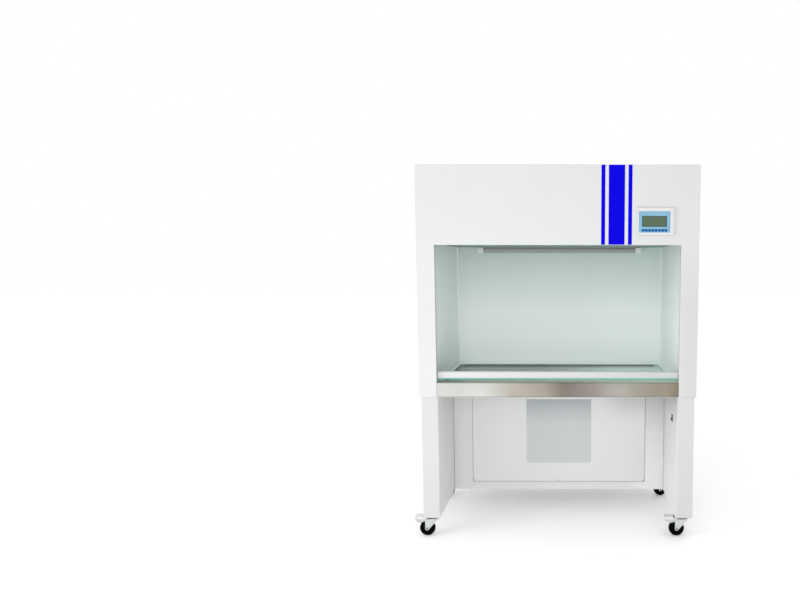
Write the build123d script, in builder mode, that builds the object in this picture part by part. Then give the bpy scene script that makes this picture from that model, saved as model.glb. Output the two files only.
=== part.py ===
from build123d import *
import os
from math import cos, radians, sin, sqrt

os.makedirs("parts", exist_ok=True)

# A vertical laminar flow hood on a stand with casters. Millimetres, Z up from the floor,
# the front faces -Y and X = 0 is the middle of the hood.

# Heights, added up from the floor
caster_height = 100.0
stand_height = 587.0
base_height = 70.0
opening_height = 640.0
header_height = 363.0
leg_bottom = caster_height
hood_base = leg_bottom + stand_height
work_z = hood_base + base_height
header_z = work_z + opening_height
hood_top = header_z + header_height

# Plan sizes of the hood and its sheet metal
hood_width = 1300.0
hood_depth = 740.0
skin = 1.5
corner_radius = 4.0
bend_radius = 3.0
column_width = 83.0
frame_return = 25.0
duct_depth = 75.0
liner_step = 11.0
running_gap = 0.5
fit_gap = 0.05
hood_half = hood_width / 2
front_y = -hood_depth / 2
back_y = hood_depth / 2
inner_half = hood_half - skin
opening_half = hood_half - column_width
liner_half = opening_half + liner_step
liner_back = back_y - duct_depth
plenum_half = liner_half + skin + 1.0
duct_front = liner_back + 2 * skin

# Stand and blower cabinet
stand_inset = 7.0
leg_width = 80.0
stand_back_room = 110.0
stand_skin = 2.0
foot_thickness = 3.0
top_flange = 16.0
cabinet_depth = 340.0
leg_outer = hood_half - stand_inset
leg_inner = leg_outer - leg_width
leg_middle = (leg_outer + leg_inner) / 2
stand_front = front_y + stand_inset
stand_back = back_y - stand_back_room
stand_depth = stand_back - stand_front
cabinet_front = back_y - cabinet_depth
cabinet_back = back_y
hatch_side = 100.5
hatch_foot = 42.0
hatch_head = 45.0
hatch_lap = 14.0
hatch_gap = 2.0
ledge_lap = 8.0
hatch_half = leg_inner - hatch_side
hatch_width = 2 * hatch_half
hatch_bottom = leg_bottom + hatch_foot
hatch_height = stand_height - hatch_foot - hatch_head
hatch_mid_z = hatch_bottom + hatch_height / 2
prefilter_room = 155.0
prefilter_size = hatch_height - prefilter_room
prefilter_rise = 28.0
prefilter_z = hatch_mid_z + prefilter_rise
prefilter_flange = 14.0
prefilter_lip = 10.0
prefilter_wall = 1.2
mat_thickness = 14.0

# Pan head screws and caster bolts
screw_radius = 2.0
screw_head_radius = 4.2
screw_head_height = 2.4
screw_length = 9.0
screw_clearance = 0.2
bolt_radius = 4.0
bolt_head_radius = 6.5
bolt_head_height = 3.6
bolt_length = 16.0
nut_height = 6.0

# Casters: plate, king pin, fork, axle, wheel and brake pedal
plate_length = 70.0
plate_width = 62.0
plate_thickness = 3.0
plate_bolt_x = 26.0
plate_bolt_y = 21.0
wheel_radius = 37.5
wheel_width = 25.0
hub_width = 27.0
trail = 28.5
axle_radius = 4.0
axle_head_radius = 7.0
axle_head_height = 3.0
fork_gap = 28.0
fork_sheet = 2.5
crown_z = 80.0
crown_thickness = 3.0
cup_radius = 26.0
cup_height = 8.0
dish_radius = 19.0
king_radius = 5.0
king_head_radius = 9.0
king_head_height = 3.5
bearing_gap = 0.4
ear_height = 10.0
pedal_reach = 87.0
pedal_width = 42.0
pedal_sheet = 2.0
pedal_below_leg = 1.0
pedal_below_bolts = 1.0
pivot_behind_king = 37.0
pivot_above_crown = 4.0
pivot_radius = 3.0
brake_throw = 12.0
shoe_gap = 0.8
shoe_near = 57.0
shoe_far = 65.0
shoe_width = 18.0
front_caster_setback = 45.0
rear_caster_room = 48.0
front_caster_y = front_y + front_caster_setback
rear_caster_y = stand_back - rear_caster_room

# Worktop: rims, shallow tray, slot in its rear wall, and front apron
side_rim = 30.0
rear_rim = 100.0
front_rim = 70.0
tray_depth = 12.0
slot_height = 8.0
slot_end_gap = 22.0
apron_bend = 6.0
apron_lip = 14.0
worktop_side_lap = 12.0
frame_gap = 1.0

# Plenum, filter and ceiling screen
ceiling_rise = 15.0
ceiling_height = header_z + ceiling_rise
plenum_front = 72.0
plenum_ledge = 16.0
filter_thickness = 69.0
filter_gap = 2.0
filter_rail = 18.0
pleat_count = 56
pleat_height = 50.0
media_sheet = 1.0
screen_drop = 7.0
screen_sheet = 1.2

# Lamp under the ceiling at the back
tube_radius = 13.0
lamp_end_room = 152.5
cap_length = 22.0
pin_length = 7.0
pin_radius = 1.2
pin_spacing = 12.7
holder_width = 30.0
holder_height = 28.0
lamp_from_wall = 24.0
lamp_below_screen = 5.0

# Sash, guides and counterbalance
glass_setback = 38.0
glass_thickness = 5.0
glass_side_room = 58.0
glass_half = hood_half - glass_side_room
glass_bottom_gap = 8.0
glass_over_header = 45.0
handle_height = 30.0
handle_depth = 17.0
handle_rise = 11.0
handle_end_gap = 2.5
handle_wall = 3.0
guide_wall = 2.0
guide_side_room = 26.0
guide_half_outer = hood_half - guide_side_room
guide_lip_room = 9.0
guide_lip_x = opening_half + guide_lip_room
guide_top_gap = 2.0
guide_back_room = 27.0
guide_bracket = 24.0
hanger_height = 40.0
hanger_drop = 72.0
hanger_wall = 4.0
cable_radius = 1.0
cable_side_room = 40.0
cable_x = hood_half - cable_side_room
cable_behind_glass = 18.0
pulley_pitch = 25.0
pulley_rim = 28.0
pulley_width = 10.0
pulley_drop = 38.0
pulley_z = hood_top - pulley_drop
groove_gap = 0.15
pulley_pin = 4.0
pin_head_radius = 7.0
pin_head_width = 3.5
bracket_size = 56.0
bracket_boss = 9.0
weight_width = 56.0
weight_depth = 44.0
weight_height = 300.0
weight_drop = 40.0
eye_radius = 7.0

# Control panel on the header
bezel_side_room = 200.0
bezel_x = hood_half - bezel_side_room
bezel_width = 170.0
bezel_height = 123.0
bezel_rise = 106.5
bezel_z = header_z + bezel_rise
bezel_depth = 8.0
bezel_corner = 5.0
label_shift = 8.0
label_x = bezel_x - label_shift
label_width = 144.0
label_height = 96.0
label_drop = 2.0
label_z = bezel_z - label_drop
label_sheet = 1.6
pocket_depth = 3.0
panel_gap = 0.3
lcd_width = 114.0
lcd_height = 50.0
lcd_rise = 2.5
lcd_z = label_z + lcd_rise
key_count = 8
key_pitch = 14.9
key_radius = 5.9
key_drop = 38.0
key_z = label_z - key_drop
key_proud = 1.2
key_travel = 0.5
key_stem = 2.0
board_setback = 10.0
board_sheet = 1.6
board_width = 150.0
board_height = 70.0
switch_body = 6.0
stripe_side_room = 451.0
stripe_start = hood_half - stripe_side_room
stripe_narrow = 18.0
stripe_wide = 74.0
stripe_gap = 15.5
stripe_skin = 0.3

# Rocker switch on the right leg and mains inlet at the back
switch_setback = 144.0
switch_drop = 132.0
switch_z = hood_base - switch_drop
rocker_width = 18.0
rocker_height = 26.0
switch_flange_width = 26.0
switch_flange_height = 33.0
switch_flange = 2.0
switch_depth = 24.0
rocker_throw = 20.0
rocker_proud = 9.0
rocker_pivot = 4.0
rocker_play = 2.0
inlet_side_room = 93.0
inlet_x = leg_inner - inlet_side_room
inlet_rise = 70.0
inlet_z = leg_bottom + inlet_rise

# Blower in the cabinet
impeller_radius = 90.0
impeller_width = 180.0
blade_count = 32
blade_chord = 17.0
blade_sheet = 1.2
ring_width = 16.0
hub_radius = 16.0
shaft_radius = 8.0
volute_width = 200.0
volute_start = 101.0
volute_end = 150.0
volute_cut_angle = 31.0
volute_points = 10
inlet_radius = 74.0
inlet_collar = 7.0
volute_back_gap = 5.0
blower_foot = 20.0
foot_inset = 25.0
foot_width = 30.0
foot_sheet = 3.0
hub_length = 50.0
shaft_tail = 40.0
ring_sheet = 2.0
motor_radius = 55.0
motor_length = 130.0
motor_from_volute = 60.0
motor_cap = 10.0
motor_fin_height = 4.0
motor_fin_width = 3.0
motor_fin_count = 20
motor_base_inset = 15.0
motor_base_width = 80.0
motor_web_inset = 20.0
motor_web_width = 70.0
motor_web_lap = 12.0
motor_base_sheet = 4.0


def front_plane(x, y, z):
    """Sketch to the right and up, seen from the front. It extrudes towards the front."""
    return Plane(origin=(x, y, z), x_dir=(1, 0, 0), z_dir=(0, -1, 0))


def side_plane(x, y, z):
    """Sketch to the back and up, seen from the right's inside. It extrudes towards +X."""
    return Plane(origin=(x, y, z), x_dir=(0, 1, 0), z_dir=(1, 0, 0))


def level_plane(x, y, z):
    """Sketch on the level at z, with +X right and +Y to the back. It extrudes upwards."""
    return Plane(origin=(x, y, z), x_dir=(1, 0, 0), z_dir=(0, 0, 1))


def block(x, y, z, mode=Mode.ADD):
    """A block between two values on each axis, as in block((0, 10), (0, 5), (0, 2))."""
    with Locations((sum(x) / 2, sum(y) / 2, sum(z) / 2)):
        Box(abs(x[1] - x[0]), abs(y[1] - y[0]), abs(z[1] - z[0]), mode=mode)


def folded(path, thickness, plane, length, bend=bend_radius):
    """A sheet folded along a path, with its metal to the right of the path."""
    with BuildSketch(plane) as profile:
        with BuildLine():
            FilletPolyline(*path, radius=bend)
            offset(amount=thickness, side=Side.RIGHT)
        make_face()
    extrude(profile.sketch, amount=length)


def round_bar(plane, radius, length, mode=Mode.ADD):
    """A round bar or hole that starts on a plane and follows its normal."""
    with BuildSketch(plane) as section:
        Circle(radius)
    extrude(section.sketch, amount=length, mode=mode)


def save(piece, name):
    piece.part.label = name
    export_step(piece.part, f"parts/{name}.step")


def spread(count, low, high):
    """Evenly spaced values from low to high."""
    return [low + (high - low) * i / (count - 1) for i in range(count)]


# Where the screws go: rear panel, access panel and the two under the apron
rear_edge = 11.0
rear_screw_x = spread(5, -hood_half + rear_edge, hood_half - rear_edge)
rear_screw_z = spread(5, hood_base + rear_edge, hood_top - rear_edge)
rear_screws = [(x, z) for x in rear_screw_x for z in (rear_screw_z[0], rear_screw_z[-1])]
rear_screws += [(x, z) for x in (rear_screw_x[0], rear_screw_x[-1]) for z in rear_screw_z[1:-1]]
hatch_edge = 7.0
hatch_screws = [
    (x, z)
    for x in spread(3, -hatch_half + hatch_edge, hatch_half - hatch_edge)
    for z in (hatch_bottom + hatch_edge, hatch_bottom + hatch_height - hatch_edge)
]
apron_screw_edge = 17.0
apron_screw_x = opening_half - apron_screw_edge
apron_screw_y = front_y + apron_lip / 2 + frame_gap
screw_hole = screw_radius + screw_clearance

# Blower outlet through the bottom of the hood into the rear duct
blower_axis_y = back_y - volute_back_gap - volute_end
outlet_front = blower_axis_y + volute_start * cos(radians(volute_cut_angle))
volute_half = volute_width / 2
duct_hole_gap = 1.0


# Hood shell: one welded box of sheet, open at the front, with a screw flange round the back
shell_front = front_y + skin
shell_back = back_y - skin
shell_height = hood_top - hood_base
shell_mid_z = (hood_top + hood_base) / 2
with BuildPart() as hood_shell:
    with BuildSketch(front_plane(0, shell_back, shell_mid_z)):
        RectangleRounded(hood_width, shell_height, corner_radius)
        offset(amount=-skin, kind=Kind.ARC, mode=Mode.SUBTRACT)
    extrude(amount=shell_back - shell_front)
    with BuildSketch(front_plane(0, shell_back, shell_mid_z)):
        RectangleRounded(hood_width, shell_height, corner_radius)
        Rectangle(hood_width - 4 * rear_edge, shell_height - 4 * rear_edge, mode=Mode.SUBTRACT)
    extrude(amount=skin)
    block(
        (-volute_half - duct_hole_gap, volute_half + duct_hole_gap),
        (outlet_front - duct_hole_gap, shell_back - skin),
        (hood_base - 1, hood_base + skin + 1),
        mode=Mode.SUBTRACT,
    )
    for screw_x, screw_z in rear_screws:
        round_bar(front_plane(screw_x, back_y, screw_z), screw_hole, 2 * skin + 1, Mode.SUBTRACT)
    for side in (-1, 1):
        under_apron = level_plane(side * apron_screw_x, apron_screw_y, hood_base - 1)
        round_bar(under_apron, screw_hole, skin + 2, Mode.SUBTRACT)
save(hood_shell, "hood_shell")


# Front frame: header and two columns in one sheet, its edges folded in round the opening
window_x = (label_x - lcd_width / 2 - 4, label_x + lcd_width / 2 + 4)
window_z = (key_z - key_radius - 2, key_z + key_radius + 2)
with BuildPart() as front_frame:
    with BuildSketch(front_plane(0, shell_front, shell_mid_z)):
        RectangleRounded(hood_width, shell_height, corner_radius)
        with Locations((0, (hood_base + header_z) / 2 - shell_mid_z)):
            Rectangle(2 * opening_half, header_z - hood_base, mode=Mode.SUBTRACT)
    extrude(amount=skin)
    outer_rim = front_frame.faces().sort_by(Axis.Y)[0].outer_wire().edges()
    fillet(outer_rim, skin * 0.6)
    for side in (-1, 1):
        block(
            (side * opening_half, side * (opening_half + skin)),
            (shell_front, front_y + frame_return),
            (hood_base + skin, header_z + skin),
        )
    block(
        (-opening_half - skin, opening_half + skin),
        (shell_front, front_y + frame_return),
        (header_z, header_z + skin),
    )
    block(window_x, (front_y - 1, shell_front + 1), window_z, mode=Mode.SUBTRACT)
save(front_frame, "front_frame")


# Three painted stripes down the header
stripe_lefts = [
    (stripe_start, stripe_narrow),
    (stripe_start + stripe_narrow + stripe_gap, stripe_wide),
    (stripe_start + stripe_narrow + stripe_wide + 2 * stripe_gap, stripe_narrow),
]
with BuildPart() as blue_stripes:
    for left, width in stripe_lefts:
        block(
            (left, left + width),
            (front_y - stripe_skin, front_y),
            (header_z + skin, hood_top - skin),
        )
save(blue_stripes, "blue_stripes")


# Rear panel, screwed to the shell's back flange
with BuildPart() as rear_panel:
    with BuildSketch(front_plane(0, back_y, shell_mid_z)):
        RectangleRounded(hood_width, shell_height, corner_radius)
    extrude(amount=skin)
    for screw_x, screw_z in rear_screws:
        round_bar(front_plane(screw_x, back_y + 1, screw_z), screw_hole, skin + 2, Mode.SUBTRACT)
save(rear_panel, "rear_panel")


# Worktop: stainless sheet with a shallow tray, folded down all round and under at the front.
# Air leaves the tray through a long slot in its rear wall.
worktop_half = liner_half + worktop_side_lap
apron_half = opening_half - frame_gap
notch_back = front_y + frame_return + frame_gap
tray_front = front_y + front_rim
tray_back = liner_back - rear_rim
tray_half = liner_half - side_rim
tray_z = work_z - tray_depth
shell_floor = hood_base + skin
with BuildPart() as worktop:
    apron_path = [
        (front_y + apron_lip, shell_floor),
        (front_y, shell_floor),
        (front_y, work_z),
        (notch_back + skin, work_z),
    ]
    folded(apron_path, skin, side_plane(-apron_half, 0, 0), 2 * apron_half, apron_bend)
    block((-worktop_half, worktop_half), (notch_back, liner_back + skin), (work_z - skin, work_z))
    for side in (-1, 1):
        block(
            (side * (worktop_half - skin), side * worktop_half),
            (notch_back, liner_back + skin),
            (shell_floor, work_z - skin),
        )
    block(
        (-tray_half - skin, tray_half + skin),
        (tray_front - skin, tray_back + skin),
        (tray_z - skin, work_z - skin),
    )
    with BuildSketch(level_plane(0, (tray_front + tray_back) / 2, tray_z)):
        RectangleRounded(2 * tray_half, tray_back - tray_front, 2 * bend_radius)
    extrude(amount=tray_depth + 1, mode=Mode.SUBTRACT)
    with BuildSketch(front_plane(0, tray_back + skin + 1, tray_z + (tray_depth - skin) / 2)):
        SlotOverall(2 * (tray_half - slot_end_gap), slot_height)
    extrude(amount=skin + 2, mode=Mode.SUBTRACT)
    for side in (-1, 1):
        lip_hole = level_plane(side * apron_screw_x, apron_screw_y, shell_floor - 1)
        round_bar(lip_hole, screw_hole, skin + 2, Mode.SUBTRACT)
save(worktop, "worktop")


# Work zone liner: sides and back in one folded stainless sheet, standing on the worktop's rim
glass_front = front_y + glass_setback - glass_thickness / 2
glass_back = glass_front + glass_thickness
guide_back = glass_back + guide_back_room
screen_bottom = ceiling_height - screen_drop
with BuildPart() as work_zone_liner:
    liner_path = [
        (-liner_half - skin, guide_back + running_gap),
        (-liner_half - skin, liner_back + skin),
        (liner_half + skin, liner_back + skin),
        (liner_half + skin, guide_back + running_gap),
    ]
    folded(liner_path, skin, level_plane(0, 0, work_z), ceiling_height - work_z)
save(work_zone_liner, "work_zone_liner")


# Rear duct: a channel behind the liner that carries the blower's air up to the plenum
duct_back = shell_back - skin - 0.2
with BuildPart() as rear_duct:
    duct_path = [
        (-plenum_half, duct_back),
        (-plenum_half, duct_front),
        (plenum_half, duct_front),
        (plenum_half, duct_back),
    ]
    with BuildSketch(level_plane(0, 0, shell_floor)):
        with BuildLine():
            FilletPolyline(*duct_path, radius=bend_radius)
            offset(amount=skin, side=Side.LEFT)
        make_face()
    extrude(amount=ceiling_height - shell_floor)
save(rear_duct, "rear_duct")


# Plenum housing: holds the filter on its ledge and keeps the air off the sash and the columns
plenum_y = front_y + plenum_front
plenum_roof = hood_top - skin
with BuildPart() as plenum_housing:
    plenum_path = [
        (-plenum_half, duct_back),
        (-plenum_half, plenum_y),
        (plenum_half, plenum_y),
        (plenum_half, duct_back),
    ]
    with BuildSketch(level_plane(0, 0, ceiling_height)):
        with BuildLine():
            FilletPolyline(*plenum_path, radius=bend_radius)
            offset(amount=skin, side=Side.LEFT)
        make_face()
    extrude(amount=plenum_roof - ceiling_height)
    inner_y = plenum_y + skin
    ledge_z = (ceiling_height, ceiling_height + skin)
    block((skin - plenum_half, plenum_half - skin), (inner_y, duct_front + skin), ledge_z)
    block(
        (skin + plenum_ledge - plenum_half, plenum_half - skin - plenum_ledge),
        (inner_y + plenum_ledge, liner_back - plenum_ledge),
        (ledge_z[0] - 1, ledge_z[1] + 1),
        mode=Mode.SUBTRACT,
    )
save(plenum_housing, "plenum_housing")


# HEPA filter: frame of rails and a pleated pack glued inside it
filter_bottom = ceiling_height + skin
filter_half = plenum_half - skin - filter_gap
filter_front = plenum_y + skin + filter_gap
filter_back = liner_back - filter_gap
filter_mid = (filter_front + filter_back) / 2
with BuildPart() as hepa_frame:
    with BuildSketch(level_plane(0, filter_mid, filter_bottom)):
        Rectangle(2 * filter_half, filter_back - filter_front)
        Rectangle(
            2 * filter_half - 2 * filter_rail,
            filter_back - filter_front - 2 * filter_rail,
            mode=Mode.SUBTRACT,
        )
    extrude(amount=filter_thickness)
save(hepa_frame, "hepa_frame")

pack_half = filter_half - filter_rail
pack_bottom = filter_bottom + (filter_thickness - pleat_height) / 2
pleat_pitch = 2 * pack_half / pleat_count
with BuildPart() as hepa_media:
    with BuildSketch(front_plane(0, filter_back - filter_rail, pack_bottom)):
        with BuildLine():
            rises = [0 if i % 2 == 0 else pleat_height - 2 * media_sheet for i in range(pleat_count + 1)]
            lower = [(-pack_half + i * pleat_pitch, rises[i]) for i in range(pleat_count + 1)]
            upper = [(x, rise + 2 * media_sheet) for x, rise in reversed(lower)]
            Polyline(*lower, *upper, close=True)
        make_face()
    extrude(amount=filter_back - filter_front - 2 * filter_rail)
save(hepa_media, "hepa_media")


# Ceiling screen under the filter: a shallow tray of sheet whose edges meet the plenum's ledge
with BuildPart() as diffuser:
    screen_half = liner_half - 1.0
    block(
        (-screen_half, screen_half),
        (plenum_y + skin, liner_back - 1.0),
        (screen_bottom, ceiling_height),
    )
    block(
        (-screen_half + screen_sheet, screen_half - screen_sheet),
        (plenum_y + skin + screen_sheet, liner_back - 1.0 - screen_sheet),
        (screen_bottom + screen_sheet, ceiling_height + 1),
        mode=Mode.SUBTRACT,
    )
save(diffuser, "diffuser")


# Lamp: a sealed tube with end caps and pins, in two holders on the back wall
lamp_y = liner_back - lamp_from_wall
lamp_z = screen_bottom - lamp_below_screen - tube_radius
glass_end = liner_half - lamp_end_room
with BuildPart() as lamp_tube:
    with BuildSketch(side_plane(-glass_end, lamp_y, lamp_z)):
        Circle(tube_radius)
    extrude(amount=2 * glass_end)
    for side in (-1, 1):
        cap_plane = Plane(
            origin=(side * glass_end, lamp_y, lamp_z), x_dir=(0, 1, 0), z_dir=(side, 0, 0)
        )
        round_bar(cap_plane, tube_radius - 0.4, cap_length)
        with BuildSketch(cap_plane.offset(cap_length)):
            with GridLocations(0, pin_spacing, 1, 2):
                Circle(pin_radius)
        extrude(amount=pin_length)
save(lamp_tube, "lamp_tube")

with BuildPart() as lampholders:
    for side in (-1, 1):
        block(
            (side * glass_end, side * (glass_end + holder_width)),
            (lamp_y - holder_height / 2, liner_back),
            (lamp_z - holder_height / 2, lamp_z + holder_height / 2),
        )
    fillet(lampholders.edges().filter_by(Axis.X), 2.0)
    for side in (-1, 1):
        socket_plane = Plane(
            origin=(side * (glass_end - 1), lamp_y, lamp_z), x_dir=(0, 1, 0), z_dir=(side, 0, 0)
        )
        round_bar(socket_plane, tube_radius - 0.4 + panel_gap, cap_length + 1.3, Mode.SUBTRACT)
        with BuildSketch(socket_plane.offset(cap_length)):
            with GridLocations(0, pin_spacing, 1, 2):
                Circle(pin_radius + panel_gap)
        extrude(amount=pin_length + 1.0 + panel_gap, mode=Mode.SUBTRACT)
save(lampholders, "lampholders")


# Sash glass, a toughened pane whose side edges run in the guides
glass_bottom = work_z + glass_bottom_gap
glass_top = header_z + glass_over_header
with BuildPart() as sash_glass:
    block((-glass_half, glass_half), (glass_front, glass_back), (glass_bottom, glass_top))
    chamfer(sash_glass.edges().filter_by(Axis.X), 0.6)
save(sash_glass, "sash_glass")


# Sash handle: an extruded bar across the pane with a finger groove underneath
handle_half = opening_half - handle_end_gap
handle_bottom = glass_bottom + handle_rise
handle_front = glass_front - handle_depth
with BuildPart() as sash_handle:
    with BuildSketch(side_plane(-handle_half, handle_front, handle_bottom)):
        with BuildLine():
            Polyline(
                (0, 0),
                (handle_wall, 0),
                (handle_wall, handle_height / 2),
                (handle_depth - handle_wall, handle_height / 2),
                (handle_depth - handle_wall, 0),
                (handle_depth, 0),
                (handle_depth, handle_height),
                (4, handle_height),
                (0, handle_height - 4),
                close=True,
            )
        make_face()
    extrude(amount=2 * handle_half)
    fillet(sash_handle.edges().filter_by(Axis.X).group_by(Axis.Y)[0], 1.2)
save(sash_handle, "sash_handle")


# Sash hangers: clamps on the pane's edges with an arm out to the cable
hanger_top = glass_top - hanger_drop
hanger_bottom = hanger_top - hanger_height
cable_y = glass_back + cable_behind_glass
hanger_inner = guide_lip_x + guide_wall + running_gap + 2.0
hanger_outer = guide_half_outer - guide_wall - running_gap
with BuildPart() as sash_hangers:
    for side in (-1, 1):
        block(
            (side * hanger_inner, side * hanger_outer),
            (glass_front - hanger_wall, cable_y + 4 * cable_radius),
            (hanger_bottom, hanger_top),
        )
    for side in (-1, 1):
        block(
            (side * (hanger_inner - 1), side * glass_half),
            (glass_front, glass_back),
            (hanger_bottom - 1, hanger_top + 1),
            mode=Mode.SUBTRACT,
        )
        block(
            (side * (hanger_inner - 1), side * (cable_x - 6)),
            (glass_back + hanger_wall, cable_y + 20),
            (hanger_bottom - 1, hanger_top + 1),
            mode=Mode.SUBTRACT,
        )
save(sash_hangers, "sash_hangers")


# Sash guides: aluminium channels whose lips run along both faces of the pane, with end stops
guide_front = front_y + frame_return + running_gap
guide_top = pulley_z - pulley_rim - guide_top_gap
guide_lip = guide_lip_x + guide_wall
with BuildPart() as sash_guides:
    for side in (-1, 1):
        x_lip = side * guide_lip_x
        x_lip_in = side * guide_lip
        x_web = side * (guide_half_outer - guide_wall)
        x_out = side * guide_half_outer
        block((x_web, x_out), (guide_front, guide_back), (work_z, guide_top))
        block((x_lip, x_web), (guide_front, guide_front + guide_wall), (work_z, guide_top))
        block((x_lip, x_web), (guide_back - guide_wall, guide_back), (work_z, guide_top))
        lip_front = (guide_front + guide_wall, glass_front - running_gap)
        lip_back = (glass_back + running_gap, guide_back - guide_wall)
        block((x_lip, x_lip_in), lip_front, (work_z, guide_top))
        block((x_lip, x_lip_in), lip_back, (work_z, guide_top))
        block(
            (x_lip, side * (glass_half + 4)),
            (guide_front + guide_wall, guide_back - guide_wall),
            (work_z, glass_bottom - 0.2),
        )
        for bracket_z in spread(3, work_z + guide_bracket, guide_top - guide_bracket):
            block(
                (x_out, side * inner_half),
                (guide_front, guide_front + guide_wall),
                (bracket_z - guide_bracket / 2, bracket_z + guide_bracket / 2),
            )
save(sash_guides, "sash_guides")


# Pulleys over the columns, their brackets on the shell's sides, and the counterweights
pulley_y = cable_y + pulley_pitch
cable_back_y = cable_y + 2 * pulley_pitch
groove_root = pulley_pitch - cable_radius - groove_gap
weight_top = pulley_z - pulley_rim - weight_drop
pulley_half = pulley_width / 2
for side, side_name in ((-1, "left"), (1, "right")):
    with BuildPart() as pulley:
        with BuildSketch(
            Plane(origin=(side * cable_x, pulley_y, pulley_z), x_dir=(side, 0, 0), z_dir=(0, -side, 0))
        ):
            with BuildLine():
                Polyline(
                    (-pulley_half, pulley_pin + fit_gap),
                    (pulley_half, pulley_pin + fit_gap),
                    (pulley_half, pulley_rim),
                    (pulley_half - 1, pulley_rim),
                    (cable_radius + groove_gap, groove_root),
                    (-cable_radius - groove_gap, groove_root),
                    (-pulley_half + 1, pulley_rim),
                    (-pulley_half, pulley_rim),
                    close=True,
                )
            make_face()
        revolve(axis=Axis((side * cable_x, pulley_y, pulley_z), (1, 0, 0)))
        with BuildSketch(side_plane(side * cable_x - pulley_half, pulley_y, pulley_z)):
            with PolarLocations(14, 5):
                Circle(4)
        extrude(amount=pulley_width, mode=Mode.SUBTRACT)
    save(pulley, f"pulley_{side_name}")

    with BuildPart() as counterweight:
        block(
            (side * cable_x - weight_width / 2, side * cable_x + weight_width / 2),
            (cable_back_y - weight_depth / 2, cable_back_y + weight_depth / 2),
            (weight_top - weight_height, weight_top),
        )
        chamfer(counterweight.edges().filter_by(Axis.Z), 3.0)
        with BuildSketch(front_plane(side * cable_x, cable_back_y + 3, weight_top)):
            with BuildLine():
                Polyline((-eye_radius, 0), (-eye_radius, eye_radius))
                ThreePointArc((-eye_radius, eye_radius), (0, 2 * eye_radius), (eye_radius, eye_radius))
                Polyline((eye_radius, eye_radius), (eye_radius, 0), (-eye_radius, 0))
            make_face()
        extrude(amount=6)
    save(counterweight, f"counterweight_{side_name}")

with BuildPart() as pulley_brackets:
    for side in (-1, 1):
        wall_x = side * inner_half
        inward = Plane(origin=(wall_x, pulley_y, pulley_z), x_dir=(0, 1, 0), z_dir=(-side, 0, 0))
        pulley_outside = inner_half - cable_x - pulley_half
        with BuildSketch(inward):
            RectangleRounded(bracket_size, bracket_size, 6)
        extrude(amount=3)
        round_bar(inward, bracket_boss, pulley_outside - running_gap)
        round_bar(inward, pulley_pin, pulley_outside + pulley_width + running_gap)
        head_plane = inward.offset(pulley_outside + pulley_width + running_gap)
        round_bar(head_plane, pin_head_radius, pin_head_width)
save(pulley_brackets, "pulley_brackets")


# Cables: from each hanger up over its pulley and down to the counterweight's eye
with BuildPart() as sash_cables:
    for side in (-1, 1):
        start = (side * cable_x, cable_y, hanger_top)
        with BuildLine() as cable_path:
            up = Line(start, (side * cable_x, cable_y, pulley_z))
            over = ThreePointArc(
                up @ 1,
                (side * cable_x, pulley_y, pulley_z + pulley_pitch),
                (side * cable_x, cable_back_y, pulley_z),
            )
            Line(over @ 1, (side * cable_x, cable_back_y, weight_top + 2 * eye_radius))
        with BuildSketch(level_plane(*start)):
            Circle(cable_radius)
        sweep(path=cable_path.line)
save(sash_cables, "sash_cables")


# Control panel: bezel with a pocket, keypad sheet, display and eight short-stroke keys
key_xs = [label_x + (i - (key_count - 1) / 2) * key_pitch for i in range(key_count)]
pocket_floor = front_y - bezel_depth + pocket_depth
stem_hole = key_stem + 0.4
with BuildPart() as control_bezel:
    with BuildSketch(front_plane(bezel_x, front_y, bezel_z)):
        RectangleRounded(bezel_width, bezel_height, bezel_corner)
    extrude(amount=bezel_depth)
    bezel_rim = control_bezel.faces().sort_by(Axis.Y)[0].edges()
    fillet(bezel_rim, 2.0)
    with BuildSketch(front_plane(label_x, pocket_floor, label_z)):
        RectangleRounded(label_width + 2 * panel_gap, label_height + 2 * panel_gap, 2.5)
    extrude(amount=bezel_depth, mode=Mode.SUBTRACT)
    for key_x in key_xs:
        key_hole = front_plane(key_x, front_y + 1, key_z)
        round_bar(key_hole, stem_hole, bezel_depth + 2, Mode.SUBTRACT)
save(control_bezel, "control_bezel")

panel_front = pocket_floor - label_sheet
with BuildPart() as keypad_panel:
    with BuildSketch(front_plane(label_x, pocket_floor, label_z)):
        RectangleRounded(label_width, label_height, 2.2)
        with Locations((0, lcd_z - label_z)):
            Rectangle(lcd_width, lcd_height, mode=Mode.SUBTRACT)
        for key_x in key_xs:
            with Locations((key_x - label_x, key_z - label_z)):
                Circle(key_radius + panel_gap, mode=Mode.SUBTRACT)
    extrude(amount=label_sheet)
save(keypad_panel, "keypad_panel")

with BuildPart() as display:
    block(
        (label_x - lcd_width / 2 + panel_gap, label_x + lcd_width / 2 - panel_gap),
        (panel_front + 0.2, pocket_floor),
        (lcd_z - lcd_height / 2 + panel_gap, lcd_z + lcd_height / 2 - panel_gap),
    )
save(display, "display")

board_front = shell_front + board_setback
stem_end = board_front - switch_body - 0.2
key_back = pocket_floor - key_travel - 0.2
for i, key_x in enumerate(key_xs):
    with BuildPart() as key:
        round_bar(front_plane(key_x, key_back, key_z), key_radius, key_back - panel_front + key_proud)
        fillet(key.faces().sort_by(Axis.Y)[0].edges(), 0.5)
        stem_tip = stem_end - key_travel
        round_bar(front_plane(key_x, stem_tip, key_z), key_stem, stem_tip - key_back)
    save(key, f"key_{i + 1}")

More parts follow.
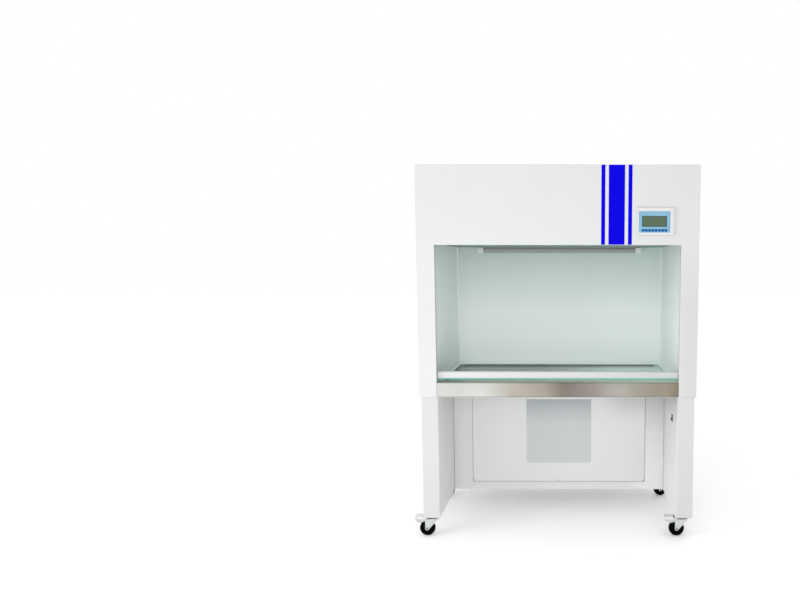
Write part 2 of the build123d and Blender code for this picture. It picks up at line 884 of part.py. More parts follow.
with BuildPart() as control_board:
    board_z = (key_z + lcd_z) / 2
    block(
        (label_x - board_width / 2, label_x + board_width / 2),
        (board_front, board_front + board_sheet),
        (board_z - board_height / 2, board_z + board_height / 2),
    )
    with BuildSketch(front_plane(label_x, board_front, board_z)):
        with GridLocations(board_width - 12, board_height - 12, 2, 2):
            Circle(3)
    extrude(amount=board_setback)
    for key_x in key_xs:
        with BuildSketch(front_plane(key_x, board_front, key_z)):
            Rectangle(6, 6)
        extrude(amount=switch_body)
save(control_board, "control_board")


# Stand sides: boxes of folded sheet, open at the top under a flange, with a foot for the casters
switch_y = front_y + switch_setback
switch_hole_width = switch_flange_width - 5.0
switch_hole_height = switch_flange_height - 5.0
caster_places = [
    (side * leg_middle, y) for side in (-1, 1) for y in (front_caster_y, rear_caster_y)
]
leg_mid_y = (stand_front + stand_back) / 2
for side, side_name in ((-1, "left"), (1, "right")):
    with BuildPart() as stand_side:
        with BuildSketch(level_plane(side * leg_middle, leg_mid_y, leg_bottom)):
            RectangleRounded(leg_width, stand_depth, corner_radius)
        extrude(amount=stand_height)
        with BuildSketch(level_plane(side * leg_middle, leg_mid_y, leg_bottom + foot_thickness)):
            RectangleRounded(
                leg_width - 2 * stand_skin, stand_depth - 2 * stand_skin, corner_radius - stand_skin
            )
        extrude(amount=stand_height - foot_thickness - stand_skin, mode=Mode.SUBTRACT)
        with BuildSketch(level_plane(side * leg_middle, leg_mid_y, hood_base - stand_skin - 1)):
            Rectangle(leg_width - 2 * top_flange, stand_depth - 2 * top_flange)
        extrude(amount=stand_skin + 2, mode=Mode.SUBTRACT)
        for place_x, place_y in caster_places:
            if place_x * side > 0:
                with BuildSketch(level_plane(place_x, place_y, leg_bottom - 1)):
                    with GridLocations(2 * plate_bolt_x, 2 * plate_bolt_y, 2, 2):
                        Circle(bolt_radius + screw_clearance)
                extrude(amount=foot_thickness + 2, mode=Mode.SUBTRACT)
        if side > 0:
            block(
                (leg_inner - 1, leg_inner + stand_skin + 1),
                (switch_y - switch_hole_width / 2, switch_y + switch_hole_width / 2),
                (switch_z - switch_hole_height / 2, switch_z + switch_hole_height / 2),
                mode=Mode.SUBTRACT,
            )
    save(stand_side, f"stand_side_{side_name}")


# Casters, front and rear, all trailing towards -X
def caster_side(x, y, z=0.0):
    """Sketch plane for a caster seen from the front: u runs to -X, away from the king pin."""
    return Plane(origin=(x, y, z), x_dir=(-1, 0, 0), z_dir=(0, 1, 0))


plate_z = leg_bottom - plate_thickness
axle_z = wheel_radius
with BuildPart() as caster_plates:
    for place_x, place_y in caster_places:
        with BuildSketch(level_plane(place_x, place_y, plate_z)):
            RectangleRounded(plate_length, plate_width, 5)
            with GridLocations(2 * plate_bolt_x, 2 * plate_bolt_y, 2, 2):
                Circle(bolt_radius + screw_clearance, mode=Mode.SUBTRACT)
        extrude(amount=plate_thickness)
        with BuildSketch(front_plane(place_x, place_y, 0)):
            with BuildLine():
                Polyline(
                    (0, plate_z),
                    (dish_radius + 2, plate_z),
                    (dish_radius, crown_z + crown_thickness + bearing_gap),
                    (king_radius, crown_z + crown_thickness + bearing_gap),
                    (king_radius, crown_z - bearing_gap),
                    (king_head_radius, crown_z - bearing_gap),
                    (king_head_radius - 2, crown_z - bearing_gap - king_head_height),
                    (0, crown_z - bearing_gap - king_head_height),
                    close=True,
                )
            make_face()
        revolve(axis=Axis((place_x, place_y, 0), (0, 0, 1)))
save(caster_plates, "caster_plates")

with BuildPart() as caster_bolts:
    for place_x, place_y in caster_places:
        with BuildSketch(level_plane(place_x, place_y, plate_z - bolt_head_height)):
            with GridLocations(2 * plate_bolt_x, 2 * plate_bolt_y, 2, 2):
                RegularPolygon(bolt_head_radius, 6)
        extrude(amount=bolt_head_height)
        with BuildSketch(level_plane(place_x, place_y, plate_z)):
            with GridLocations(2 * plate_bolt_x, 2 * plate_bolt_y, 2, 2):
                Circle(bolt_radius)
        extrude(amount=bolt_length)
        with BuildSketch(level_plane(place_x, place_y, leg_bottom + foot_thickness)):
            with GridLocations(2 * plate_bolt_x, 2 * plate_bolt_y, 2, 2):
                RegularPolygon(bolt_head_radius, 6)
        extrude(amount=nut_height)
save(caster_bolts, "caster_bolts")

leg_at = fork_gap / 2
ear_top = crown_z + ear_height
pivot_z = crown_z + pivot_above_crown
pedal_top = leg_bottom - pedal_below_leg
pedal_low = plate_z - bolt_head_height - pedal_below_bolts

# The wheel's axis as the pedal sees it when pressed, for the end of the brake shoe
press = radians(brake_throw)
axle_u = trail - pivot_behind_king
axle_drop = axle_z - pivot_z
pressed_u = pivot_behind_king + axle_u * cos(press) - axle_drop * sin(press)
pressed_z = pivot_z + axle_u * sin(press) + axle_drop * cos(press)
shoe_reach = wheel_radius + shoe_gap


def shoe_end(u):
    """Height of the shoe's end at u, just clear of the tread when the pedal is pressed."""
    return pressed_z + sqrt(shoe_reach**2 - (u - pressed_u) ** 2)


caster_names = {
    "front_left": (-leg_middle, front_caster_y),
    "rear_left": (-leg_middle, rear_caster_y),
    "front_right": (leg_middle, front_caster_y),
    "rear_right": (leg_middle, rear_caster_y),
}
pedal_half = pedal_width / 2
for name, (place_x, place_y) in caster_names.items():
    has_brake = name.startswith("front")
    with BuildPart() as fork:
        with BuildSketch(front_plane(place_x, place_y, 0)):
            with BuildLine():
                Polyline(
                    (king_radius + fit_gap, crown_z),
                    (cup_radius, crown_z),
                    (cup_radius, crown_z + cup_height),
                    (cup_radius - crown_thickness, crown_z + cup_height),
                    (cup_radius - crown_thickness, crown_z + crown_thickness),
                    (king_radius + fit_gap, crown_z + crown_thickness),
                    close=True,
                )
            make_face()
        revolve(axis=Axis((place_x, place_y, 0), (0, 0, 1)))
        for leg in (-1, 1):
            leg_y = place_y + (leg_at if leg > 0 else -leg_at - fork_sheet)
            with BuildSketch(caster_side(place_x, leg_y)):
                with BuildLine():
                    tip_radius = 9.0
                    back_u = trail + tip_radius
                    ear_z = ear_top if has_brake else crown_z + crown_thickness
                    low = ThreePointArc(
                        (back_u, axle_z),
                        (trail + 2, axle_z - tip_radius * 0.975),
                        (trail - tip_radius * 0.72, axle_z - tip_radius * 0.69),
                    )
                    Polyline(
                        low @ 1,
                        (-21, crown_z),
                        (-15, crown_z + crown_thickness),
                        (24, crown_z + crown_thickness),
                        (back_u - 6, ear_z),
                        (back_u + 3, ear_z),
                        (back_u + 3, crown_z),
                        (back_u, crown_z - 8),
                        low @ 0,
                    )
                make_face()
            extrude(amount=fork_sheet)
        with BuildSketch(level_plane(place_x - trail / 2 - 3, place_y, crown_z)):
            RectangleRounded(trail + 12, fork_gap + 1, 2)
        extrude(amount=crown_thickness)
        round_bar(level_plane(place_x, place_y, crown_z - 1), king_radius + fit_gap, 6, Mode.SUBTRACT)
        axle_length = fork_gap + 2 * fork_sheet + 2 * axle_head_height
        axle_plane = caster_side(place_x - trail, place_y - axle_length / 2, axle_z)
        round_bar(axle_plane, axle_radius, axle_length)
        round_bar(axle_plane, axle_head_radius, axle_head_height)
        round_bar(axle_plane.offset(axle_length - axle_head_height), axle_head_radius, axle_head_height)
        if has_brake:
            pivot_x = place_x - pivot_behind_king
            pivot_plane = caster_side(pivot_x, place_y - pedal_half - 1.0, pivot_z)
            round_bar(pivot_plane, pivot_radius, pedal_width + 2.0)
    save(fork, f"caster_fork_{name}")

    with BuildPart() as wheel:
        wheel_axis = Axis((place_x - trail, place_y, axle_z), (0, 1, 0))
        with BuildSketch(side_plane(place_x - trail, place_y, axle_z)):
            with BuildLine():
                bore = axle_radius + fit_gap
                Polyline(
                    (-hub_width / 2, bore),
                    (hub_width / 2, bore),
                    (hub_width / 2, 12),
                    (wheel_width / 2 - 4, 14),
                    (wheel_width / 2 - 4, wheel_radius - 12),
                    (wheel_width / 2, wheel_radius - 10),
                    (wheel_width / 2, wheel_radius - 4),
                )
                ThreePointArc(
                    (wheel_width / 2, wheel_radius - 4),
                    (0, wheel_radius),
                    (-wheel_width / 2, wheel_radius - 4),
                )
                Polyline(
                    (-wheel_width / 2, wheel_radius - 4),
                    (-wheel_width / 2, wheel_radius - 10),
                    (-wheel_width / 2 + 4, wheel_radius - 12),
                    (-wheel_width / 2 + 4, 14),
                    (-hub_width / 2, 12),
                    (-hub_width / 2, bore),
                )
            make_face()
        revolve(axis=wheel_axis)
    save(wheel, f"caster_wheel_{name}")

    if has_brake:
        with BuildPart() as pedal:
            with BuildSketch(caster_side(place_x, place_y - pedal_half)):
                with BuildLine():
                    Polyline(
                        (pivot_behind_king - 6, pivot_z - 5),
                        (pivot_behind_king - 6, pedal_low - 2),
                        (pivot_behind_king - 3, pedal_low),
                        (pivot_behind_king + 4, pedal_low),
                        (pivot_behind_king + 12, pedal_top - 1),
                        (pedal_reach - 7, pedal_top),
                        (pedal_reach - 1, pedal_top - 1),
                        (pedal_reach, pedal_top - 9),
                        (pedal_reach - 3, pedal_top - 19),
                        (pedal_reach - 21, pedal_top - 31),
                        (pivot_behind_king + 13, pedal_top - 28),
                        close=True,
                    )
                make_face()
            extrude(amount=pedal_width)
            with BuildSketch(caster_side(place_x, place_y - pedal_half + pedal_sheet)):
                with BuildLine():
                    Polyline(
                        (pivot_behind_king - 7, pivot_z - 6),
                        (pivot_behind_king - 7, pedal_top + 1),
                        (pivot_behind_king + 9, pedal_top + 1),
                        (pivot_behind_king + 9, pedal_top - 5),
                        (pivot_behind_king + 13, pedal_top - 1 - pedal_sheet),
                        (pedal_reach - 7, pedal_top - pedal_sheet),
                        (pedal_reach - 1 - pedal_sheet, pedal_top - 1 - pedal_sheet),
                        (pedal_reach - pedal_sheet, pedal_top - 9),
                        (pedal_reach - 3 - pedal_sheet, pedal_top - 18),
                        (pedal_reach - 21, pedal_top - 34),
                        (pivot_behind_king - 7, pedal_top - 34),
                        close=True,
                    )
                make_face()
            extrude(amount=pedal_width - 2 * pedal_sheet, mode=Mode.SUBTRACT)
            pivot_hole = caster_side(pivot_x, place_y - pedal_half - 1, pivot_z)
            round_bar(pivot_hole, pivot_radius + fit_gap, pedal_width + 2, Mode.SUBTRACT)
            with BuildSketch(caster_side(place_x, place_y - shoe_width / 2)):
                with BuildLine():
                    Polyline(
                        (shoe_near, shoe_end(shoe_near)),
                        (shoe_near, pedal_top - pedal_sheet),
                        (shoe_far, pedal_top - pedal_sheet),
                        (shoe_far, shoe_end(shoe_far)),
                        close=True,
                    )
                make_face()
            extrude(amount=shoe_width)
        save(pedal, f"caster_brake_{name}")


# Blower cabinet: a sheet steel box between the stand sides, hung under the hood. The access
# panel lies flush in its front, on a ledge that runs round behind the opening.
cabinet_half = leg_inner
cabinet_top = hood_base
hatch_back = cabinet_front + skin
ledge_width = hatch_width + 2 * (hatch_gap + ledge_lap)
ledge_height = hatch_height + 2 * (hatch_gap + ledge_lap)
with BuildPart() as blower_cabinet:
    block((-cabinet_half, cabinet_half), (cabinet_front, cabinet_back), (leg_bottom, cabinet_top))
    block(
        (-cabinet_half + skin, cabinet_half - skin),
        (cabinet_front + skin, cabinet_back - skin),
        (leg_bottom + skin, cabinet_top + 1),
        mode=Mode.SUBTRACT,
    )
    with BuildSketch(front_plane(0, hatch_back + 1, hatch_mid_z)):
        RectangleRounded(hatch_width + 2 * hatch_gap, hatch_height + 2 * hatch_gap, 3 + hatch_gap)
    extrude(amount=skin + 2, mode=Mode.SUBTRACT)
    with BuildSketch(front_plane(0, hatch_back + skin, hatch_mid_z)):
        Rectangle(ledge_width, ledge_height)
        Rectangle(hatch_width - 2 * hatch_lap, hatch_height - 2 * hatch_lap, mode=Mode.SUBTRACT)
    extrude(amount=skin)
    for screw_x, screw_z in hatch_screws:
        ledge_hole = front_plane(screw_x, hatch_back + skin + 1, screw_z)
        round_bar(ledge_hole, screw_hole, skin + 2, Mode.SUBTRACT)
    inlet_body_x = (inlet_x - 14.5, inlet_x + 14.5)
    inlet_body_z = (inlet_z - 11.0, inlet_z + 11.0)
    block(
        (inlet_body_x[0] - panel_gap, inlet_body_x[1] + panel_gap),
        (cabinet_back - skin - 1, cabinet_back + 1),
        (inlet_body_z[0] - panel_gap, inlet_body_z[1] + panel_gap),
        mode=Mode.SUBTRACT,
    )
save(blower_cabinet, "blower_cabinet")


# Access panel, flush with the cabinet's front, with the opening for the pre-filter
with BuildPart() as access_panel:
    with BuildSketch(front_plane(0, hatch_back, hatch_mid_z)):
        RectangleRounded(hatch_width, hatch_height, 3)
        with Locations((0, prefilter_z - hatch_mid_z)):
            Rectangle(prefilter_size, prefilter_size, mode=Mode.SUBTRACT)
    extrude(amount=skin)
    for screw_x, screw_z in hatch_screws:
        panel_hole = front_plane(screw_x, hatch_back + 1, screw_z)
        round_bar(panel_hole, screw_hole, skin + 2, Mode.SUBTRACT)
save(access_panel, "access_panel")

# Pre-filter: a folded frame behind the panel's opening, and its washable mat
mat_size = prefilter_size - 2 * panel_gap
wall_size = prefilter_size + 2 * prefilter_wall
with BuildPart() as prefilter_frame:
    with BuildSketch(front_plane(0, hatch_back + prefilter_wall, prefilter_z)):
        Rectangle(wall_size + 2 * prefilter_flange, wall_size + 2 * prefilter_flange)
        Rectangle(prefilter_size, prefilter_size, mode=Mode.SUBTRACT)
    extrude(amount=prefilter_wall)
    with BuildSketch(front_plane(0, hatch_back + mat_thickness, prefilter_z)):
        Rectangle(wall_size, wall_size)
        Rectangle(prefilter_size, prefilter_size, mode=Mode.SUBTRACT)
    extrude(amount=mat_thickness)
    with BuildSketch(front_plane(0, hatch_back + mat_thickness, prefilter_z)):
        Rectangle(wall_size, wall_size)
        Rectangle(wall_size - 2 * prefilter_lip, wall_size - 2 * prefilter_lip, mode=Mode.SUBTRACT)
    extrude(amount=prefilter_wall)
save(prefilter_frame, "prefilter_frame")

with BuildPart() as prefilter_media:
    with BuildSketch(front_plane(0, hatch_back + mat_thickness - prefilter_wall, prefilter_z)):
        Rectangle(mat_size, mat_size)
    extrude(amount=mat_thickness - prefilter_wall + skin / 2)
save(prefilter_media, "prefilter_media")


# Pan head screws of the rear panel, the access panel and the apron
def pan_screw(plane):
    """One screw whose head's underside sits on the plane and whose normal points out."""
    round_bar(plane, screw_head_radius, screw_head_height)
    round_bar(plane.offset(-screw_length), screw_radius, screw_length)


with BuildPart() as panel_screws:
    for screw_x, screw_z in rear_screws:
        pan_screw(Plane(origin=(screw_x, back_y, screw_z), x_dir=(-1, 0, 0), z_dir=(0, 1, 0)))
    for screw_x, screw_z in hatch_screws:
        pan_screw(front_plane(screw_x, cabinet_front, screw_z))
    for side in (-1, 1):
        pan_screw(
            Plane(origin=(side * apron_screw_x, apron_screw_y, hood_base), x_dir=(1, 0, 0), z_dir=(0, 0, -1))
        )
save(panel_screws, "panel_screws")


# Blower housing: spiral scroll with two inlet collars and a neck up into the rear duct
floor_z = leg_bottom + skin
lowest_angle = 274.0
scroll_growth = (volute_end - volute_start) / (360 - volute_cut_angle)
blower_z = floor_z + blower_foot + volute_start + scroll_growth * (lowest_angle - volute_cut_angle)


def scroll_outline(inset):
    """The scroll and its neck in (Y, Z), round the impeller's axis, drawn inwards by inset."""
    spiral = []
    for angle in spread(volute_points, volute_cut_angle, 360):
        reach = volute_start + scroll_growth * (angle - volute_cut_angle) - inset
        spiral.append((reach * cos(radians(angle)), reach * sin(radians(angle))))
    neck_front = outlet_front - blower_axis_y + inset
    neck_top = shell_floor - blower_z
    with BuildLine() as outline:
        Spline(*spiral)
        Polyline(
            spiral[-1],
            (volute_end - inset, neck_top),
            (neck_front, neck_top),
            (neck_front, spiral[0][1]),
            spiral[0],
        )
    return outline.line


with BuildPart() as blower_housing:
    with BuildSketch(side_plane(-volute_half, blower_axis_y, blower_z)):
        add(scroll_outline(0))
        make_face()
    extrude(amount=volute_width)
    for side in (-1, 1):
        foot_x = side * (volute_half - foot_inset)
        foot_reach = volute_start * 0.7
        block(
            (foot_x - foot_width / 2, foot_x + foot_width / 2),
            (blower_axis_y - foot_reach, blower_axis_y + foot_reach),
            (floor_z, floor_z + foot_sheet),
        )
        block(
            (foot_x - skin, foot_x + skin),
            (blower_axis_y - foot_reach, blower_axis_y + foot_reach),
            (floor_z, blower_z - volute_start / 2),
        )
    with BuildSketch(side_plane(-volute_half + skin, blower_axis_y, blower_z)):
        add(scroll_outline(skin))
        make_face()
    extrude(amount=volute_width - 2 * skin, mode=Mode.SUBTRACT)
    for side in (-1, 1):
        collar_x = side * (volute_half - inlet_collar / 2)
        collar = side_plane(collar_x - inlet_collar / 2, blower_axis_y, blower_z)
        round_bar(collar, inlet_radius + skin, inlet_collar)
    through = side_plane(-volute_half - 1, blower_axis_y, blower_z)
    round_bar(through, inlet_radius, volute_width + 2, Mode.SUBTRACT)
save(blower_housing, "blower_housing")


# Impeller: forward-curved blades between a centre disc and two end rings, on its shaft
impeller_half = impeller_width / 2
blade_out = impeller_radius - blade_sheet
blade_in = blade_out - blade_chord
motor_inner = volute_half + motor_from_volute
shaft_out = motor_inner + motor_length * 0.8
with BuildPart() as blower_impeller:
    ring_inner = impeller_radius - ring_width
    for ring_x in (-impeller_half, impeller_half - ring_sheet):
        with BuildSketch(side_plane(ring_x, blower_axis_y, blower_z)):
            Circle(impeller_radius)
            Circle(ring_inner, mode=Mode.SUBTRACT)
        extrude(amount=ring_sheet)
    with BuildSketch(side_plane(-ring_sheet / 2, blower_axis_y, blower_z)):
        Circle(impeller_radius)
    extrude(amount=ring_sheet)
    with BuildSketch(side_plane(-impeller_half, blower_axis_y, blower_z)):
        with PolarLocations(blade_in, blade_count):
            lean = blade_chord * 0.4
            Polygon(
                (0, 0),
                (blade_chord, lean),
                (blade_chord, lean + blade_sheet),
                (0, blade_sheet),
                align=None,
            )
    extrude(amount=impeller_width)
    round_bar(side_plane(-hub_length / 2, blower_axis_y, blower_z), hub_radius, hub_length)
    round_bar(side_plane(-shaft_out, blower_axis_y, blower_z), shaft_radius, shaft_out + shaft_tail)
save(blower_impeller, "blower_impeller")


# Motor on its foot bracket beside the volute, its shaft running through it
motor_outer = -motor_inner - motor_length
with BuildPart() as blower_motor:
    motor_plane = side_plane(motor_outer, blower_axis_y, blower_z)
    with BuildSketch(motor_plane):
        Circle(motor_radius - motor_fin_height)
        with PolarLocations(motor_radius - motor_fin_height, motor_fin_count):
            Rectangle(2 * motor_fin_height, motor_fin_width)
    extrude(amount=motor_length)
    round_bar(motor_plane, motor_radius, motor_cap)
    round_bar(motor_plane.offset(motor_length - motor_cap), motor_radius, motor_cap)
    block(
        (motor_outer + motor_base_inset, -motor_inner - motor_base_inset),
        (blower_axis_y - motor_base_width / 2, blower_axis_y + motor_base_width / 2),
        (floor_z, floor_z + motor_base_sheet),
    )
    for web_x in (motor_outer + motor_web_inset, -motor_inner - motor_web_inset - motor_base_sheet):
        block(
            (web_x, web_x + motor_base_sheet),
            (blower_axis_y - motor_web_width / 2, blower_axis_y + motor_web_width / 2),
            (floor_z, blower_z - motor_radius + motor_web_lap),
        )
    shaft_room = side_plane(-shaft_out - 1, blower_axis_y, blower_z)
    round_bar(shaft_room, shaft_radius + fit_gap, motor_length, Mode.SUBTRACT)
save(blower_motor, "blower_motor")


# Rocker switch through the right leg's inner face
switch_face = leg_inner
with BuildPart() as switch_housing:
    block(
        (switch_face - switch_flange, switch_face),
        (switch_y - switch_flange_width / 2, switch_y + switch_flange_width / 2),
        (switch_z - switch_flange_height / 2, switch_z + switch_flange_height / 2),
    )
    block(
        (switch_face, switch_face + switch_depth),
        (switch_y - switch_hole_width / 2 + panel_gap, switch_y + switch_hole_width / 2 - panel_gap),
        (switch_z - switch_hole_height / 2 + panel_gap, switch_z + switch_hole_height / 2 - panel_gap),
    )
    block(
        (switch_face - switch_flange - 1, switch_face + 13),
        (switch_y - rocker_width / 2 - panel_gap, switch_y + rocker_width / 2 + panel_gap),
        (switch_z - rocker_height / 2 - panel_gap, switch_z + rocker_height / 2 + panel_gap),
        mode=Mode.SUBTRACT,
    )
save(switch_housing, "switch_housing")

rocker_x = switch_face + rocker_pivot
rocker_y = switch_y - rocker_width / 2
rocker_tilt = radians(rocker_throw / 2)
rocker_out = (-cos(rocker_tilt), 0, sin(rocker_tilt))
rocker_half = rocker_height / 2 - rocker_play
with BuildPart() as switch_rocker:
    with BuildSketch(Plane(origin=(rocker_x, rocker_y, switch_z), x_dir=rocker_out, z_dir=(0, 1, 0))):
        with BuildLine():
            Polyline(
                (1, -rocker_half),
                (rocker_proud, -rocker_half),
                (rocker_proud - 2, 0),
                (rocker_proud, rocker_half),
                (1, rocker_half),
                (-4, 3),
                (-4, -3),
                close=True,
            )
        make_face()
    extrude(amount=rocker_width)
save(switch_rocker, "switch_rocker")


# Mains inlet in the cabinet's back: flange, body with a socket and three blades
with BuildPart() as power_inlet:
    with BuildSketch(Plane(origin=(inlet_x, cabinet_back, inlet_z), x_dir=(-1, 0, 0), z_dir=(0, 1, 0))):
        RectangleRounded(50, 28, 4)
    extrude(amount=2.5)
    block(inlet_body_x, (cabinet_back - 20, cabinet_back), inlet_body_z)
    block(
        (inlet_x - 12, inlet_x + 12),
        (cabinet_back - 16, cabinet_back + 3),
        (inlet_z - 8, inlet_z + 8),
        mode=Mode.SUBTRACT,
    )
    for blade_x, blade_z in ((-7, -2), (0, 2), (7, -2)):
        block(
            (inlet_x + blade_x - 1, inlet_x + blade_x + 1),
            (cabinet_back - 17, cabinet_back - 2),
            (inlet_z + blade_z - 2, inlet_z + blade_z + 2),
        )
save(power_inlet, "power_inlet")
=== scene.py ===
from math import cos, pi, radians, sin

import bmesh
import bpy
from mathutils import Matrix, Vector


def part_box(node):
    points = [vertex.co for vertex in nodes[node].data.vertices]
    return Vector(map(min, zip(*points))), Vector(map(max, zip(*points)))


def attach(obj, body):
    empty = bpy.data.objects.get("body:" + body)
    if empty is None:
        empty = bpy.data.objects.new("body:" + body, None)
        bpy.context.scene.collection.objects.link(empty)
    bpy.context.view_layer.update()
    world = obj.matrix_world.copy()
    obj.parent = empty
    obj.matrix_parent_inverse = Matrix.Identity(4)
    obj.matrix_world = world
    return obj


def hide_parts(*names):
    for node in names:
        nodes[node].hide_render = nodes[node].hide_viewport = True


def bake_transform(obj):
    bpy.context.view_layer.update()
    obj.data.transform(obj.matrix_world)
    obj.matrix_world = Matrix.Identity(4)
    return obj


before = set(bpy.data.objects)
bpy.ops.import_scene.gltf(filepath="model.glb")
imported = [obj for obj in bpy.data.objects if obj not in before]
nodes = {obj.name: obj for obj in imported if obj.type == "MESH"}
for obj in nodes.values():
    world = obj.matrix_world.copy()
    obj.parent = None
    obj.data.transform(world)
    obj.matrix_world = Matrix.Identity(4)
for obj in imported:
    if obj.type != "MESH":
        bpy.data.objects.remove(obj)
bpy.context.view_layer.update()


# Hood shell, front frame and rear panel: sheet steel, folded, screwed together and powder-coated in a
# warm white. The coat has a fine orange peel, and its gloss clouds very slightly. Painted shade makes the
# front of the right column a little darker below the header.
def surface(name, color, roughness, metallic=0.0):
    """A new material with one Principled shader."""
    material = bpy.data.materials.new(name)
    material.use_nodes = True
    shader = material.node_tree.nodes["Principled BSDF"]
    shader.inputs["Base Color"].default_value = (*color, 1.0)
    shader.inputs["Roughness"].default_value = roughness
    shader.inputs["Metallic"].default_value = metallic
    return material


def place(material, stretch=(1.0, 1.0, 1.0), origin=(0.0, 0.0, 0.0)):
    """Object coordinates in metres, counted from the origin given and then stretched."""
    tree = material.node_tree
    coordinates = tree.nodes.new("ShaderNodeTexCoord")
    mapping = tree.nodes.new("ShaderNodeMapping")
    mapping.inputs["Location"].default_value = tuple(-s * k for s, k in zip(origin, stretch))
    mapping.inputs["Scale"].default_value = stretch
    tree.links.new(coordinates.outputs["Object"], mapping.inputs["Vector"])
    return mapping.outputs["Vector"]


def axes(material, vector):
    """The X, Y and Z of a vector."""
    tree = material.node_tree
    split = tree.nodes.new("ShaderNodeSeparateXYZ")
    tree.links.new(vector, split.inputs["Vector"])
    return split.outputs


def along(material, axis):
    """The object coordinate along X, Y or Z, in metres."""
    return axes(material, place(material))[axis]


def noise(material, scale, detail=2.0, stretch=(1.0, 1.0, 1.0)):
    """Noise on the object coordinates, about 0.5 on average."""
    tree = material.node_tree
    pattern = tree.nodes.new("ShaderNodeTexNoise")
    pattern.inputs["Scale"].default_value = scale
    pattern.inputs["Detail"].default_value = detail
    tree.links.new(place(material, stretch), pattern.inputs["Vector"])
    return pattern.outputs["Fac"]


def ramp(material, value, low, high, start=0.3, end=0.7):
    """The value's span from start to end, turned into low to high."""
    tree = material.node_tree
    remap = tree.nodes.new("ShaderNodeMapRange")
    remap.inputs["From Min"].default_value = start
    remap.inputs["From Max"].default_value = end
    remap.inputs["To Min"].default_value = low
    remap.inputs["To Max"].default_value = high
    tree.links.new(value, remap.inputs["Value"])
    return remap.outputs["Result"]


def between(material, factor, first, second):
    """A colour from first to second as the factor goes from 0 to 1."""
    tree = material.node_tree
    mix = tree.nodes.new("ShaderNodeMix")
    mix.data_type = "RGBA"
    mix.inputs["A"].default_value = (*first, 1.0)
    mix.inputs["B"].default_value = (*second, 1.0)
    tree.links.new(factor, mix.inputs["Factor"])
    return mix.outputs["Result"]


def math_of(material, operation, first, second=None):
    """The product, sum or the like of one or two values."""
    tree = material.node_tree
    step = tree.nodes.new("ShaderNodeMath")
    step.operation = operation
    tree.links.new(first, step.inputs[0])
    if second is not None:
        tree.links.new(second, step.inputs[1])
    return step.outputs["Value"]


def feed(material, value, socket):
    """The value drives a socket of the material's shader."""
    tree = material.node_tree
    tree.links.new(value, tree.nodes["Principled BSDF"].inputs[socket])


def relief(material, value, distance, strength=1.0):
    """The value shows as a relief of that depth in metres."""
    tree = material.node_tree
    bump = tree.nodes.new("ShaderNodeBump")
    bump.inputs["Distance"].default_value = distance
    bump.inputs["Strength"].default_value = strength
    tree.links.new(value, bump.inputs["Height"])
    feed(material, bump.outputs["Normal"], "Normal")


def cover(material, factor, color, blend="MIX"):
    """The colour comes over the shader's own, as far as the factor says."""
    tree = material.node_tree
    socket = tree.nodes["Principled BSDF"].inputs["Base Color"]
    mix = tree.nodes.new("ShaderNodeMix")
    mix.data_type = "RGBA"
    mix.blend_type = blend
    tree.links.new(socket.links[0].from_socket, mix.inputs["A"])
    mix.inputs["B"].default_value = (*color, 1.0)
    tree.links.new(factor, mix.inputs["Factor"])
    tree.links.new(mix.outputs["Result"], socket)


def tint(material, tone, *factors):
    """The shader's colour is multiplied by the tone, as far as the factors say together."""
    share = factors[0]
    for factor in factors[1:]:
        share = math_of(material, "MULTIPLY", share, factor)
    cover(material, share, tone, "MULTIPLY")


def dress(material, *names):
    """The CAD nodes show this material."""
    for name in names:
        slots = nodes[name].material_slots
        for slot in slots:
            slot.material = material
        if not slots:
            nodes[name].data.materials.append(material)


def powder_coat(name, color, roughness=0.36):
    """Powder coat over sheet metal."""
    coat = surface(name, color, roughness)
    cloud = ramp(coat, noise(coat, 3.0, 3.0), 0.0, 1.0)
    darker = tuple(c * 0.985 for c in color)
    feed(coat, between(coat, cloud, darker, color), "Base Color")
    feed(coat, ramp(coat, noise(coat, 40.0), roughness - 0.04, roughness + 0.05), "Roughness")
    relief(coat, noise(coat, 700.0, 1.0), 0.00003, 0.12)
    return coat


FACE_DEPTH = 0.002
FACE_FADE = 0.002


def front_face(material, low, fade=FACE_FADE):
    """1 on the front face of the box with this low corner, and 0 behind it."""
    start = low.y + FACE_DEPTH
    return ramp(material, along(material, "Y"), 1.0, 0.0, start, start + fade)


white_coat = powder_coat("white_coat", (0.546, 0.548, 0.551))
frame_low, frame_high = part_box("front_frame")
column_start = frame_high.x - 0.11
column_end = frame_high.x - 0.06
header_foot = frame_high.z - 0.36
column_middle = frame_high.z - 0.65
# Painted shade: the right column's front is a little darker, most in its lower part.
tint(
    white_coat,
    (0.92, 0.92, 0.925),
    ramp(white_coat, along(white_coat, "X"), 0.0, 1.0, column_start, column_end),
    front_face(white_coat, frame_low),
    ramp(white_coat, along(white_coat, "Z"), 1.0, 0.0, column_middle, header_foot),
)
dress(white_coat, "hood_shell", "front_frame", "rear_panel")


# Stand sides: two box legs of folded sheet, welded and coated like the hood, which rest on the casters.
# Painted light and shade: their coat is set lighter than the hood's, their fronts are a little greyer and
# their inner faces lighter, and the right leg's inner face is darker near the worktop and lighter below.
def painted_light_by_height(material, tone, first_z, last_z, factor):
    """Painted light or shade: the colour is multiplied by the grey tone at last_z, and less and less as
    far as first_z.
    """
    share = ramp(material, along(material, "Z"), 0.0, 1.0, first_z, last_z)
    tint(material, (tone, tone, tone), share, factor)


